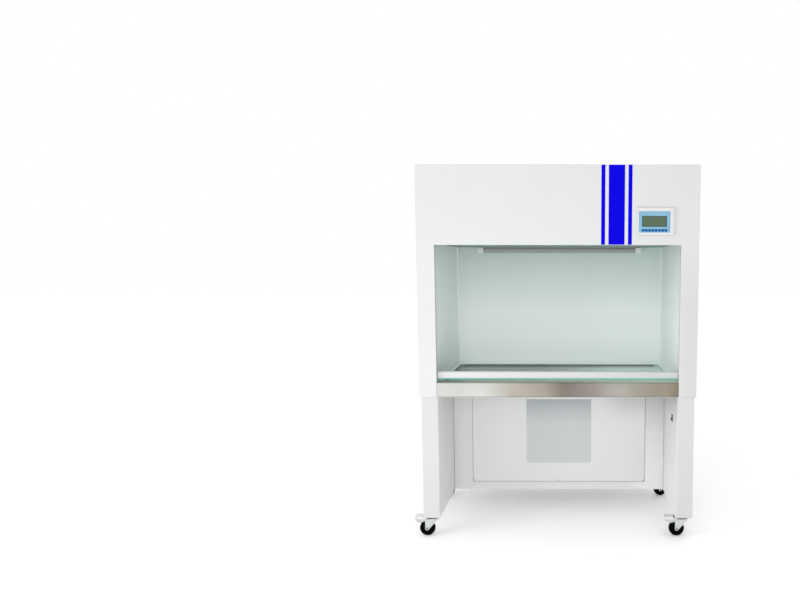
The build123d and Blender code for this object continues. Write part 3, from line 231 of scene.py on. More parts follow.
stand_coat = powder_coat("stand_coat", (0.6, 0.602, 0.604))
leg_low, leg_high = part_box("stand_side_left")
# Painted shade on the fronts, and painted light on the inner faces.
tint(stand_coat, (0.85, 0.85, 0.85), front_face(stand_coat, leg_low))
from_middle = math_of(stand_coat, "ABSOLUTE", along(stand_coat, "X"))
inner_face = 0.001 - leg_high.x
leg_inside = ramp(stand_coat, from_middle, 1.0, 0.0, inner_face, inner_face + 0.002)
tint(stand_coat, (1.13, 1.13, 1.13), leg_inside)
right_leg = ramp(stand_coat, along(stand_coat, "X"), 0.0, 1.0, 0.0, 0.1)
right_inside = math_of(stand_coat, "MULTIPLY", right_leg, leg_inside)
# Painted shade near the worktop and painted light lower down, on the right leg's inner face.
painted_light_by_height(stand_coat, 0.7, leg_high.z - 0.15, leg_high.z - 0.03, right_inside)
painted_light_by_height(stand_coat, 1.1, leg_high.z - 0.25, leg_high.z - 0.5, right_inside)
dress(stand_coat, "stand_side_left", "stand_side_right")


# Blower cabinet: a folded sheet box between the legs, coated like them, and set a little lighter than the
# hood as painted light for the shade between the legs. A thin painted shadow marks the joint where its
# front meets each leg, and painted shade darkens its right strip under the apron, with painted light
# lower.
SEAM_WIDTH = 0.0025
SEAM_SHADOW_TONE = (0.34, 0.35, 0.35)


def seam_shadows(material, low, high):
    """A painted shadow in the seam up both sides of the front face of the box from low to high."""
    away = math_of(material, "ABSOLUTE", along(material, "X"))
    edge = ramp(material, away, 0.0, 1.0, high.x - SEAM_WIDTH, high.x - SEAM_WIDTH / 2)
    tint(material, SEAM_SHADOW_TONE, edge, front_face(material, low, 0.001))


cabinet_coat = powder_coat("cabinet_coat", (0.605, 0.607, 0.609))
cabinet_low, cabinet_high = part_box("blower_cabinet")
seam_shadows(cabinet_coat, cabinet_low, cabinet_high)
strip_start = cabinet_high.x - 0.2
strip_end = cabinet_high.x - 0.1
# Painted shade at the top of the right strip, and painted light lower down.
right_strip = ramp(cabinet_coat, along(cabinet_coat, "X"), 0.0, 1.0, strip_start, strip_end)
painted_light_by_height(cabinet_coat, 0.73, cabinet_high.z - 0.28, cabinet_high.z - 0.04, right_strip)
painted_light_by_height(cabinet_coat, 1.13, cabinet_high.z - 0.22, cabinet_high.z - 0.5, right_strip)
dress(cabinet_coat, "blower_cabinet")


# Access panel: a flat coated sheet that sits flush on a ledge of the cabinet and is held by screws.
# Painted shadow marks its joint up both sides and along its foot, its coat is set lighter than the hood's
# as painted light for the shade between the legs, and painted shade darkens its upper right part under
# the apron.
panel_coat = powder_coat("panel_coat", (0.615, 0.617, 0.619))
panel_low, panel_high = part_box("access_panel")
seam_shadows(panel_coat, panel_low, panel_high)
# Painted shadow in the joint along the panel's foot.
seam_top = panel_low.z + SEAM_WIDTH
seam = ramp(panel_coat, along(panel_coat, "Z"), 1.0, 0.0, panel_low.z + SEAM_WIDTH / 2, seam_top)
tint(panel_coat, SEAM_SHADOW_TONE, seam)
shade_start = panel_high.x - 0.25
shade_end = panel_high.x - 0.12
# Painted shade in the upper right part, under the apron.
right_end = ramp(panel_coat, along(panel_coat, "X"), 0.0, 1.0, shade_start, shade_end)
painted_light_by_height(panel_coat, 0.8, panel_high.z - 0.16, panel_high.z - 0.03, right_end)
dress(panel_coat, "access_panel")


# Work zone liner: one folded sheet makes the back and both walls, coated like the hood but cooler, and
# set far lighter than the hood as painted light for the shade in the work zone. Painted shade darkens it
# towards the ceiling, less on the side walls, and at the foot of its left wall.
WALL_BAND = 0.008
WALL_FADE = 0.002
liner_coat = powder_coat("liner_coat", (0.94, 0.975, 0.965), 0.34)
liner_low, liner_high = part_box("work_zone_liner")
height = along(liner_coat, "Z")
width = along(liner_coat, "X")
left_edge = liner_low.x + WALL_BAND
right_edge = liner_high.x - WALL_BAND
left_share = ramp(liner_coat, width, 0.15, 1.0, left_edge - WALL_FADE, left_edge)
right_share = ramp(liner_coat, width, 1.0, 0.5, right_edge, right_edge + WALL_FADE)
wall_share = math_of(liner_coat, "MULTIPLY", left_share, right_share)
# Painted shade towards the ceiling, weaker on the side walls.
for first_z, last_z, tone in (
    (liner_low.z + 0.1, liner_high.z - 0.25, (0.92, 0.925, 0.925)),
    (liner_high.z - 0.36, liner_high.z - 0.06, (0.64, 0.71, 0.695)),
):
    tint(liner_coat, tone, ramp(liner_coat, height, 0.0, 1.0, first_z, last_z), wall_share)
# Painted shade at the foot of the left wall.
left_wall = ramp(liner_coat, width, 1.0, 0.0, left_edge - WALL_FADE, left_edge)
left_foot = ramp(liner_coat, height, 1.0, 0.0, liner_low.z, liner_low.z + 0.2)
tint(liner_coat, (0.7, 0.76, 0.74), left_foot, left_wall)
dress(liner_coat, "work_zone_liner")


def matt(material, level):
    """The shader's mirror shine away from grazing light comes down to this level."""
    shader = material.node_tree.nodes["Principled BSDF"]
    shader.inputs["Specular IOR Level"].default_value = level


# Blue stripes: three bands of satin paint, masked and sprayed on the header from its top to the opening.
# The paint has a faint grain.
blue_paint = surface("blue_paint", (0.002, 0.0, 0.54), 0.35)
matt(blue_paint, 0.04)
feed(blue_paint, ramp(blue_paint, noise(blue_paint, 60.0), 0.3, 0.42), "Roughness")
dress(blue_paint, "blue_stripes")


# Worktop: one stainless sheet, pressed to a shallow tray and folded down at the front to make the apron.
# It is brushed along its length. Painted reflections give the apron soft brown, grey and bright
# stretches, and tint the tray and rims greenish grey, lighter to the right; painted shade darkens them at
# the left, and a darker line runs along the joint with the liner's left wall.
def brushed(name, color, roughness, grain_axis):
    """Brushed metal whose scratches run along one axis, given as 0, 1 or 2."""
    metal = surface(name, color, roughness, 1.0)
    stretch = [1.0, 1.0, 1.0]
    stretch[grain_axis] = 0.012
    scratches = noise(metal, 900.0, 3.0, tuple(stretch))
    worn_places = ramp(metal, noise(metal, 7.0), 0.0, 1.0)
    worn = tuple(c * 0.86 for c in color)
    feed(metal, between(metal, worn_places, worn, color), "Base Color")
    feed(metal, ramp(metal, scratches, roughness - 0.07, roughness + 0.1), "Roughness")
    relief(metal, scratches, 0.00001, 0.5)
    return metal


TRAY_FRONT = -0.3
STRIP_FADE = 0.01
stainless = brushed("stainless", (0.65, 0.658, 0.624), 0.33, 0)
worktop_low, worktop_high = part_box("worktop")
across = along(stainless, "X")
depth = along(stainless, "Y")
apron = ramp(stainless, depth, 1.0, 0.0, worktop_low.y + 0.003, worktop_low.y + 0.006)
# Painted reflections: brown, grey and bright stretches across the apron.
for first_x, last_x, tone in (
    (-0.34, -0.2, (0.76, 0.7, 0.645)),
    (-0.2, -0.07, (0.84, 0.81, 0.81)),
    (-0.06, 0.02, (0.63, 0.61, 0.61)),
    (0.05, 0.27, (1.6, 1.75, 1.8)),
    (0.3, 0.48, (0.84, 0.79, 0.71)),
    (0.5, 0.56, (0.76, 0.73, 0.69)),
):
    tint(stainless, tone, ramp(stainless, across, 0.0, 1.0, first_x, last_x), apron)
top_start = worktop_high.z - 0.002
top_end = worktop_high.z - 0.0005
below_top = ramp(stainless, along(stainless, "Z"), 1.0, 0.0, top_start, top_end)
# Painted reflection and shade: the tray is greenish grey, lighter to the right and darker at the left.
tray = math_of(stainless, "SUBTRACT", below_top, apron)
tint(stainless, (0.385, 0.48, 0.44), tray)
tint(stainless, (2.6, 2.5, 2.6), ramp(stainless, across, 0.0, 1.0, -0.1, 0.3), tray)
tint(stainless, (0.6, 0.65, 0.65), ramp(stainless, across, 1.0, 0.0, -0.53, -0.44), tray)
# Painted reflection and shade on the rim tops: the front strip is tinted, darker at the left and lighter
# to the right, and the rims behind it are pale green.
top_face = ramp(stainless, below_top, 1.0, 0.0, 0.0, 1.0)
fade_start = TRAY_FRONT - STRIP_FADE
before_tray = ramp(stainless, depth, 1.0, 0.0, fade_start, TRAY_FRONT)
front_strip = math_of(stainless, "MULTIPLY", before_tray, top_face)
tint(stainless, (0.88, 0.85, 0.74), front_strip)
tint(stainless, (0.6, 0.68, 0.62), ramp(stainless, across, 1.0, 0.0, -0.56, -0.4), front_strip)
tint(stainless, (1.3, 1.4, 1.45), ramp(stainless, across, 0.0, 1.0, 0.1, 0.35), front_strip)
behind_strip = ramp(stainless, depth, 0.0, 1.0, fade_start, TRAY_FRONT)
cover(stainless, math_of(stainless, "MULTIPLY", behind_strip, top_face), (0.86, 0.93, 0.9))
joint_start = liner_low.x + 0.004
left_joint = ramp(stainless, across, 1.0, 0.0, joint_start, joint_start + 0.002)
tint(stainless, (0.3, 0.36, 0.33), left_joint, top_face)
dress(stainless, "worktop")


# Rear duct: galvanised sheet, folded and riveted, which leads the air up behind the liner. Its foot, seen
# through the slot in the tray's rear wall, is painted almost black as shade, a little less towards the
# right.
def spangled(name):
    """Galvanised sheet, covered by crystals of zinc in slightly different greys."""
    metal = surface(name, (0.5, 0.52, 0.53), 0.45, 1.0)
    crystal = metal.node_tree.nodes.new("ShaderNodeTexVoronoi")
    crystal.inputs["Scale"].default_value = 90.0
    metal.node_tree.links.new(place(metal), crystal.inputs["Vector"])
    shade = metal.node_tree.nodes.new("ShaderNodeSeparateColor")
    metal.node_tree.links.new(crystal.outputs["Color"], shade.inputs["Color"])
    dark_zinc = (0.42, 0.44, 0.45)
    light_zinc = (0.6, 0.62, 0.63)
    feed(metal, between(metal, shade.outputs["Red"], dark_zinc, light_zinc), "Base Color")
    feed(metal, ramp(metal, shade.outputs["Green"], 0.35, 0.55, 0.0, 1.0), "Roughness")
    return metal


duct_sheet = spangled("duct_sheet")
# Painted shade: the duct's foot, behind the slot, is almost black.
painted_shade = ramp(duct_sheet, along(duct_sheet, "Z"), 1.0, 0.0, worktop_high.z - 0.002, worktop_high.z)
less_shaded_end = ramp(duct_sheet, along(duct_sheet, "X"), 1.0, 0.6, -0.1, 0.3)
tint(duct_sheet, (0.03, 0.045, 0.04), painted_shade, less_shaded_end)
dress(duct_sheet, "rear_duct")


# Plenum, blower housing and impeller, pre-filter frame, pulley brackets and sash hangers: galvanised
# sheet, folded, pressed or spot-welded, and left uncoated because none of it is handled.
galvanised = spangled("galvanised")
dress(galvanised, "plenum_housing", "blower_housing", "blower_impeller")
dress(galvanised, "prefilter_frame", "pulley_brackets", "sash_hangers")


# Caster plates and bolts: pressed steel plates with a riveted king pin, zinc-plated, each bolted under a
# leg with four bolts. The plating has soft blotches.
def plated(name, color, roughness=0.4):
    """Plated steel with blotches."""
    metal = surface(name, color, roughness, 1.0)
    blotch = ramp(metal, noise(metal, 55.0, 4.0), 0.0, 1.0)
    dull = tuple(c * 0.86 for c in color)
    feed(metal, between(metal, blotch, dull, color), "Base Color")
    feed(metal, ramp(metal, noise(metal, 130.0), roughness - 0.08, roughness + 0.12), "Roughness")
    relief(metal, noise(metal, 1500.0, 1.0), 0.00002, 0.3)
    return metal


ZINC = (0.68, 0.7, 0.69)
CORNERS = ("front_left", "front_right", "rear_left", "rear_right")
zinc = plated("zinc_plate", ZINC)
dress(zinc, "caster_plates", "caster_bolts")


# Caster forks: pressed steel, zinc-plated like the plates, turning on their king pins. The end of each
# front axle is a dark riveted head.
AXLE_HEAD = 0.0042
fork_zinc = plated("fork_zinc", ZINC)
for corner in CORNERS[:2]:
    wheel_low, wheel_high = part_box(f"caster_wheel_{corner}")
    axle_middle = (wheel_low + wheel_high) / 2
    reach = fork_zinc.node_tree.nodes.new("ShaderNodeVectorMath")
    reach.operation = "LENGTH"
    from_axle = place(fork_zinc, (1.0, 0.0, 1.0), tuple(axle_middle))
    fork_zinc.node_tree.links.new(from_axle, reach.inputs[0])
    head = ramp(fork_zinc, reach.outputs["Value"], 1.0, 0.0, AXLE_HEAD, AXLE_HEAD + 0.001)
    tint(fork_zinc, (0.2, 0.21, 0.2), head)
dress(fork_zinc, *(f"caster_fork_{corner}" for corner in CORNERS))


# Brake pedals: one pressed steel lever on each front fork, plated brighter than the fork. Its lower part
# lies in the shade of the tread plate.
pedal_zinc = plated("pedal_zinc", (0.84, 0.85, 0.84))
pedal_low, pedal_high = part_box("caster_brake_front_left")
pedal_height = along(pedal_zinc, "Z")
lower_part = ramp(pedal_zinc, pedal_height, 1.0, 0.0, pedal_low.z + 0.01, pedal_high.z - 0.006)
tint(pedal_zinc, (0.66, 0.69, 0.67), lower_part)
dress(pedal_zinc, *(f"caster_brake_{corner}" for corner in CORNERS[:2]))


# Panel screws: small pan-head screws of plated steel, which hold the access panel, the rear panel and the
# apron. They are duller and greyer than the casters.
screw_steel = plated("screw_steel", (0.56, 0.56, 0.57), 0.3)
dress(screw_steel, "panel_screws")


# Caster wheels: black rubber moulded on a hub, running on an axle through the fork. The tread is dull,
# and dust sits in its grain.
wheel_black = surface("wheel_black", (0.006, 0.006, 0.007), 0.45)
matt(wheel_black, 0.03)
dust = ramp(wheel_black, noise(wheel_black, 90.0, 5.0), 0.0, 1.0, 0.45, 0.8)
dusted = between(wheel_black, dust, (0.001, 0.001, 0.001), (0.005, 0.005, 0.005))
feed(wheel_black, dusted, "Base Color")
feed(wheel_black, ramp(wheel_black, noise(wheel_black, 60.0), 0.35, 0.6), "Roughness")
relief(wheel_black, noise(wheel_black, 1200.0), 0.00005, 0.4)
dress(wheel_black, *(f"caster_wheel_{corner}" for corner in CORNERS))


# Sash pane: one sheet of clear float glass with a green cast, sliding in the guides behind the header.
# Its polished bottom edge gathers light and shows bright teal, darker at its lowest part.
EDGE_HEIGHT = 0.007
CLEAR_ALPHA = 0.045
EDGE_ALPHA = 0.95
CLEAR_GLASS = (0.74, 0.86, 0.83)
pane = surface("sash_pane", CLEAR_GLASS, 0.03)
pane_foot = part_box("sash_glass")[0].z
height = along(pane, "Z")
edge_top = pane_foot + EDGE_HEIGHT
edge = ramp(pane, height, 1.0, 0.0, edge_top - 0.001, edge_top)
feed(pane, between(pane, edge, CLEAR_GLASS, (0.38, 0.82, 0.73)), "Base Color")
lowest = ramp(pane, height, 1.0, 0.0, pane_foot + 0.003, pane_foot + 0.004)
cover(pane, lowest, (0.12, 0.43, 0.35))
feed(pane, ramp(pane, edge, CLEAR_ALPHA, EDGE_ALPHA, 0.0, 1.0), "Alpha")
pane.node_tree.nodes["Principled BSDF"].inputs["IOR"].default_value = 1.52
dress(pane, "sash_glass")


# Sash handle: an aluminium section pushed on the pane's foot, coated white. Fine lines run along it from
# drawing, and painted shade makes it a little greyer towards its right end.
handle_coat = surface("handle_white", (0.545, 0.545, 0.547), 0.32)
handle_low, handle_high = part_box("sash_handle")
right_shade_start = handle_low.x + 0.1
right_shade_end = handle_high.x - 0.1
# Painted shade: greyer towards the right end.
right_shade = ramp(handle_coat, along(handle_coat, "X"), 0.0, 1.0, right_shade_start, right_shade_end)
handle_color = between(handle_coat, right_shade, (0.545, 0.545, 0.547), (0.465, 0.465, 0.467))
feed(handle_coat, handle_color, "Base Color")
drawn = noise(handle_coat, 500.0, 2.0, (0.02, 1.0, 1.0))
feed(handle_coat, ramp(handle_coat, drawn, 0.26, 0.4), "Roughness")
relief(handle_coat, drawn, 0.00002, 0.3)
dress(handle_coat, "sash_handle")


# Sash guides and filter frame: aluminium channels, drawn along the guides and anodised. The guides are
# screwed to the columns, and the frame holds the filter's paper.
anodised = brushed("aluminium", (0.72, 0.73, 0.74), 0.36, 2)
dress(anodised, "sash_guides", "hepa_frame")


# Counterweights: two blocks of grey cast iron with a rough sandy skin, each hung on a cable in a column
# to balance the sash.
cast_iron = surface("weight_iron", (0.07, 0.068, 0.065), 0.7)
sand = noise(cast_iron, 350.0, 5.0)
sandy = ramp(cast_iron, sand, 0.0, 1.0)
feed(cast_iron, between(cast_iron, sandy, (0.04, 0.04, 0.04), (0.11, 0.1, 0.09)), "Base Color")
relief(cast_iron, sand, 0.0003, 0.7)
dress(cast_iron, "counterweight_left", "counterweight_right")


# Pulleys: grooved wheels turned from dark plastic, running on pins in their brackets. They have the fine
# grain of all the hood's plastic pieces.
def moulded(name, color, roughness, grain=1400.0):
    """Moulded plastic with a fine grain."""
    plastic = surface(name, color, roughness)
    darker = tuple(c * 0.9 for c in color)
    cloud = ramp(plastic, noise(plastic, 25.0, 3.0), 0.0, 1.0)
    feed(plastic, between(plastic, cloud, darker, color), "Base Color")
    roughness_spots = noise(plastic, 80.0)
    feed(plastic, ramp(plastic, roughness_spots, roughness - 0.05, roughness + 0.06), "Roughness")
    relief(plastic, noise(plastic, grain, 1.0), 0.00003, 0.35)
    return plastic


dress(moulded("pulley_plastic", (0.1, 0.1, 0.11), 0.4), "pulley_left", "pulley_right")


# Rocker switch and power inlet: moulded in black plastic and snapped into the sheet. The rocker is deep
# red and rocks on a pin inside its housing.
FINE_GRAIN = 2500.0
black_plastic = moulded("black_plastic", (0.008, 0.007, 0.008), 0.38)
matt(black_plastic, 0.1)
dress(black_plastic, "switch_housing", "power_inlet")
switch_red = moulded("switch_red", (0.06, 0.002, 0.008), 0.3, FINE_GRAIN)
matt(switch_red, 0.1)
dress(switch_red, "switch_rocker")


# Control bezel: a moulded white frame that is snapped into the header around the keypad. Its top takes
# the header's tone, and painted shadow makes its right and lower sides a little darker.
bezel_white = moulded("bezel_white", (0.61, 0.63, 0.64), 0.33)
bezel_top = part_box("control_bezel")[1].z
label_low, label_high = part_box("keypad_panel")
bezel_x = along(bezel_white, "X")
bezel_z = along(bezel_white, "Z")
upper_part = ramp(bezel_white, bezel_z, 0.0, 1.0, bezel_top - 0.024, bezel_top - 0.016)
cover(bezel_white, upper_part, (0.57, 0.57, 0.565))
# Painted shadow along the right and lower sides.
right_side = ramp(bezel_white, bezel_x, 0.0, 1.0, label_high.x + 0.007, label_high.x + 0.01)
lower_side = ramp(bezel_white, bezel_z, 1.0, 0.0, label_low.z - 0.009, label_low.z - 0.006)
cover(bezel_white, math_of(bezel_white, "MAXIMUM", right_side, lower_side), (0.52, 0.52, 0.51))
dress(bezel_white, "control_bezel")


# Control board: glass-fibre laminate with a green lacquer, screwed behind the header. It carries the
# switches under the keys.
dress(moulded("board_green", (0.02, 0.16, 0.06), 0.4, 600.0), "control_board")


# Keys: eight round push buttons moulded in blue plastic, in a row below the display. Each one goes
# through a hole in the keypad panel.
KEY_COUNT = 8
key_blue = moulded("key_blue", (0.0, 0.075, 0.27), 0.35, FINE_GRAIN)
matt(key_blue, 0.15)
dress(key_blue, *(f"key_{number}" for number in range(1, KEY_COUNT + 1)))


# Keypad panel: a light blue plastic plate, pressed into the bezel, with round holes for the keys. A soft
# darker ring is printed around each hole.
RING_WIDTH = 0.0014
label_blue = moulded("label_blue", (0.175, 0.37, 0.51), 0.32, FINE_GRAIN)
first_low, first_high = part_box("key_1")
last_low, last_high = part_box(f"key_{KEY_COUNT}")
first_key = (first_low + first_high) / 2
last_key = (last_low + last_high) / 2
key_pitch = (last_key.x - first_key.x) / (KEY_COUNT - 1)
key_radius = (first_high.z - first_low.z) / 2
row_start = (first_key.x - key_pitch / 2, 0.0, first_key.z)
from_row = axes(label_blue, place(label_blue, (1.0, 0.0, 1.0), row_start))
cell = label_blue.node_tree.nodes.new("ShaderNodeMath")
cell.operation = "PINGPONG"
cell.inputs[1].default_value = key_pitch / 2
label_blue.node_tree.links.new(from_row["X"], cell.inputs[0])
off_x = ramp(label_blue, cell.outputs["Value"], key_pitch / 2, 0.0, 0.0, key_pitch / 2)
off_x_squared = math_of(label_blue, "MULTIPLY", off_x, off_x)
off_z_squared = math_of(label_blue, "MULTIPLY", from_row["Z"], from_row["Z"])
off_squared = math_of(label_blue, "ADD", off_z_squared, off_x_squared)
off_key = math_of(label_blue, "SQRT", off_squared)
ring_start = key_radius + 0.0004
ring = ramp(label_blue, off_key, 1.0, 0.0, ring_start, ring_start + RING_WIDTH)
label_middle = (label_low.x + label_high.x) / 2
from_middle = axes(label_blue, place(label_blue, (1.0, 1.0, 1.0), (label_middle, 0.0, 0.0)))["X"]
away = math_of(label_blue, "ABSOLUTE", from_middle)
row_half = key_pitch * KEY_COUNT / 2
row = ramp(label_blue, away, 1.0, 0.0, row_half - 0.0002, row_half)
cover(label_blue, math_of(label_blue, "MULTIPLY", ring, row), (0.0, 0.1, 0.32))
dress(label_blue, "keypad_panel")


# Display: a liquid crystal cell of dark green glass, set in a window of the keypad panel. It is switched
# off, and its rim is darker than its middle.
lcd = surface("lcd", (0.09, 0.15, 0.08), 0.12)
lcd_low, lcd_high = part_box("display")
lcd_middle = (lcd_low + lcd_high) / 2
lcd_size = lcd_high - lcd_low
window = axes(lcd, place(lcd, (2 / lcd_size.x, 1.0, 2 / lcd_size.z), tuple(lcd_middle)))
side_rim = ramp(lcd, math_of(lcd, "ABSOLUTE", window["X"]), 0.0, 1.0, 0.84, 0.93)
end_rim = ramp(lcd, math_of(lcd, "ABSOLUTE", window["Z"]), 0.0, 1.0, 0.76, 0.93)
rim = math_of(lcd, "MAXIMUM", side_rim, end_rim)
feed(lcd, between(lcd, rim, (0.056, 0.095, 0.052), (0.026, 0.075, 0.062)), "Base Color")
dress(lcd, "display")


# Filter mat: a matt non-woven mat of polyester fibre, pushed into the pre-filter's frame. Painted shade
# from the worktop above darkens it towards its top.
mat_cloth = surface("filter_mat", (0.56, 0.61, 0.62), 0.9)
fibres = noise(mat_cloth, 420.0, 6.0)
fibre_share = ramp(mat_cloth, fibres, 0.0, 1.0)
fibre_color = between(mat_cloth, fibre_share, (0.43, 0.455, 0.46), (0.55, 0.57, 0.575))
feed(mat_cloth, fibre_color, "Base Color")
mat_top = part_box("prefilter_media")[1].z
# Painted shade towards the top of the mat.
painted_shade = ramp(mat_cloth, along(mat_cloth, "Z"), 0.0, 1.0, mat_top - 0.13, mat_top)
tint(mat_cloth, (0.72, 0.75, 0.75), painted_shade)
relief(mat_cloth, fibres, 0.0012, 0.6)
dress(mat_cloth, "prefilter_media")


# Filter paper: glass-fibre paper, pleated and potted in the aluminium frame above the ceiling screen. It
# is an even off-white with a fine felt.
paper = surface("filter_paper", (0.88, 0.88, 0.85), 0.85)
relief(paper, noise(paper, 900.0, 4.0), 0.0001, 0.5)
patches = ramp(paper, noise(paper, 12.0), 0.0, 1.0)
feed(paper, between(paper, patches, (0.8, 0.8, 0.76), (0.9, 0.9, 0.88)), "Base Color")
dress(paper, "hepa_media")


# Lamp tube and holders: a frosted glass tube with metal end caps, whose pins sit in two white plastic
# holders under the ceiling. The lamp is off, and its tube is painted a dark grey as the shade it lies in.
CAP_START = 0.4254
tube = surface("lamp_glass", (0.86, 0.88, 0.88), 0.25)
from_tube_middle = math_of(tube, "ABSOLUTE", along(tube, "X"))
cap = ramp(tube, from_tube_middle, 0.0, 1.0, CAP_START, CAP_START + 0.0002)
# Painted shade: the tube is a dark grey, its caps a lighter metal.
feed(tube, between(tube, cap, (0.275, 0.27, 0.27), (0.6, 0.6, 0.61)), "Base Color")
feed(tube, cap, "Metallic")
dress(tube, "lamp_tube")
dress(moulded("holder_white", (0.82, 0.83, 0.83), 0.35), "lampholders")


# Blower motor: a cast housing in dark grey machine paint, bolted to the side of the blower. Its coat is
# coarser than the hood's.
dress(powder_coat("motor_paint", (0.13, 0.14, 0.15), 0.45), "blower_motor")


# Sash cables: stranded steel, from the sash's hangers over the pulleys to the weights. Each is drawn as
# two runs, one from the hanger up and over the pulley and one from the pulley down to the weight.
CABLE_RADIUS = 0.001
CABLE_SIDES = 10
TURN_STEPS = 24
cable_steel = surface("cable_steel", (0.42, 0.42, 0.43), 0.4, 1.0)
strands = cable_steel.node_tree.nodes.new("ShaderNodeTexWave")
strands.wave_type = "BANDS"
strands.bands_direction = "DIAGONAL"
strands.inputs["Scale"].default_value = 260.0
cable_steel.node_tree.links.new(place(cable_steel), strands.inputs["Vector"])
strand = strands.outputs["Fac"]
feed(cable_steel, between(cable_steel, strand, (0.2, 0.2, 0.2), (0.55, 0.55, 0.56)), "Base Color")
relief(cable_steel, strand, 0.0002, 0.8)

hanger_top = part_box("sash_hangers")[1].z
weight_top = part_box("counterweight_right")[1].z
cable_low, cable_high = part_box("sash_cables")
front_line = cable_low.y + CABLE_RADIUS
rear_line = cable_high.y - CABLE_RADIUS
middle_line = (front_line + rear_line) / 2
turn_radius = (rear_line - front_line) / 2
pulley_low, pulley_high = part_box("pulley_right")
pulley_z = (pulley_low.z + pulley_high.z) / 2
cable_x = (pulley_low.x + pulley_high.x) / 2


def cable_run(name, points):
    """A round cable through the points, which lie in one plane of constant X."""
    mesh = bmesh.new()
    rings = []
    sideways = Vector((1.0, 0.0, 0.0))
    for i, point in enumerate(points):
        before = points[max(i - 1, 0)]
        after = points[min(i + 1, len(points) - 1)]
        out = (after - before).normalized().cross(sideways)
        ring = []
        for k in range(CABLE_SIDES):
            turn = 2 * pi * k / CABLE_SIDES
            offset = sideways * cos(turn) + out * sin(turn)
            ring.append(mesh.verts.new(point + offset * CABLE_RADIUS))
        rings.append(ring)
    for low_ring, high_ring in zip(rings, rings[1:]):
        for k in range(CABLE_SIDES):
            j = (k + 1) % CABLE_SIDES
            mesh.faces.new((low_ring[k], low_ring[j], high_ring[j], high_ring[k]))
    mesh.faces.new(list(reversed(rings[0])))
    mesh.faces.new(rings[-1])
    bmesh.ops.recalc_face_normals(mesh, faces=mesh.faces)
    data = bpy.data.meshes.new(name)
    mesh.to_mesh(data)
    mesh.free()
    data.shade_smooth()
    data.materials.append(cable_steel)
    piece = bpy.data.objects.new(name, data)
    bpy.context.scene.collection.objects.link(piece)
    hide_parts("sash_cables")
    return piece


def over_pulley(x):
    """The points of the half turn over the pulley, after the first."""
    points = []
    for i in range(1, TURN_STEPS + 1):
        turn = pi - pi * i / TURN_STEPS
        y = middle_line + turn_radius * cos(turn)
        points.append(Vector((x, y, pulley_z + turn_radius * sin(turn))))
    return points


for x, side_name in ((-cable_x, "left"), (cable_x, "right")):
    hanger_end = Vector((x, front_line, hanger_top))
    pulley_start = Vector((x, front_line, pulley_z))
    front_points = [hanger_end, pulley_start, *over_pulley(x)]
    front_cable = cable_run(f"cable_front_{side_name}", front_points)
    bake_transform(front_cable)
    pulley_end = Vector((x, rear_line, pulley_z))
    weight_end = Vector((x, rear_line, weight_top - CABLE_RADIUS))
    rear_cable = cable_run(f"cable_rear_{side_name}", [pulley_end, weight_end])
    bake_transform(rear_cable)


# Ceiling screen: punched steel sheet, laid on a ledge above the work zone to spread the air. Its coat is
# painted a dark grey-green as the shade under the ceiling, and its round holes are a grid of dots just
# under the sheet, painted dark as the shade above them.
screen_coat = powder_coat("screen_coat", (0.16, 0.34, 0.287), 0.4)
dress(screen_coat, "diffuser")
# Painted shade: the holes are dark dots.
hole_shade = surface("hole_shade", (0.03, 0.035, 0.035), 0.8)
feed(hole_shade, ramp(hole_shade, noise(hole_shade, 300.0), 0.7, 0.9), "Roughness")


def node_group(name, inputs):
    """An empty geometry node group with the named inputs, and its two end nodes."""
    group = bpy.data.node_groups.new(name, "GeometryNodeTree")
    group.interface.new_socket("Geometry", in_out="INPUT", socket_type="NodeSocketGeometry")
    for label, kind in inputs:
        group.interface.new_socket(label, in_out="INPUT", socket_type=kind)
    group.interface.new_socket("Geometry", in_out="OUTPUT", socket_type="NodeSocketGeometry")
    return group, group.nodes.new("NodeGroupInput"), group.nodes.new("NodeGroupOutput")


def repeated(name, group, base, values):
    """An object whose mesh the node group makes from the base mesh and the named values."""
    piece = bpy.data.objects.new(name, base)
    bpy.context.scene.collection.objects.link(piece)
    modifier = piece.modifiers.new(group.name, "NODES")
    modifier.node_group = group
    for item in group.interface.items_tree:
        if item.item_type == "SOCKET" and item.name in values:
            modifier[item.identifier] = values[item.name]
    bpy.context.view_layer.update()
    made = piece.evaluated_get(bpy.context.evaluated_depsgraph_get())
    finished = bpy.data.meshes.new_from_object(made)
    piece.modifiers.remove(modifier)
    piece.data = finished
    finished.name = name
    return piece


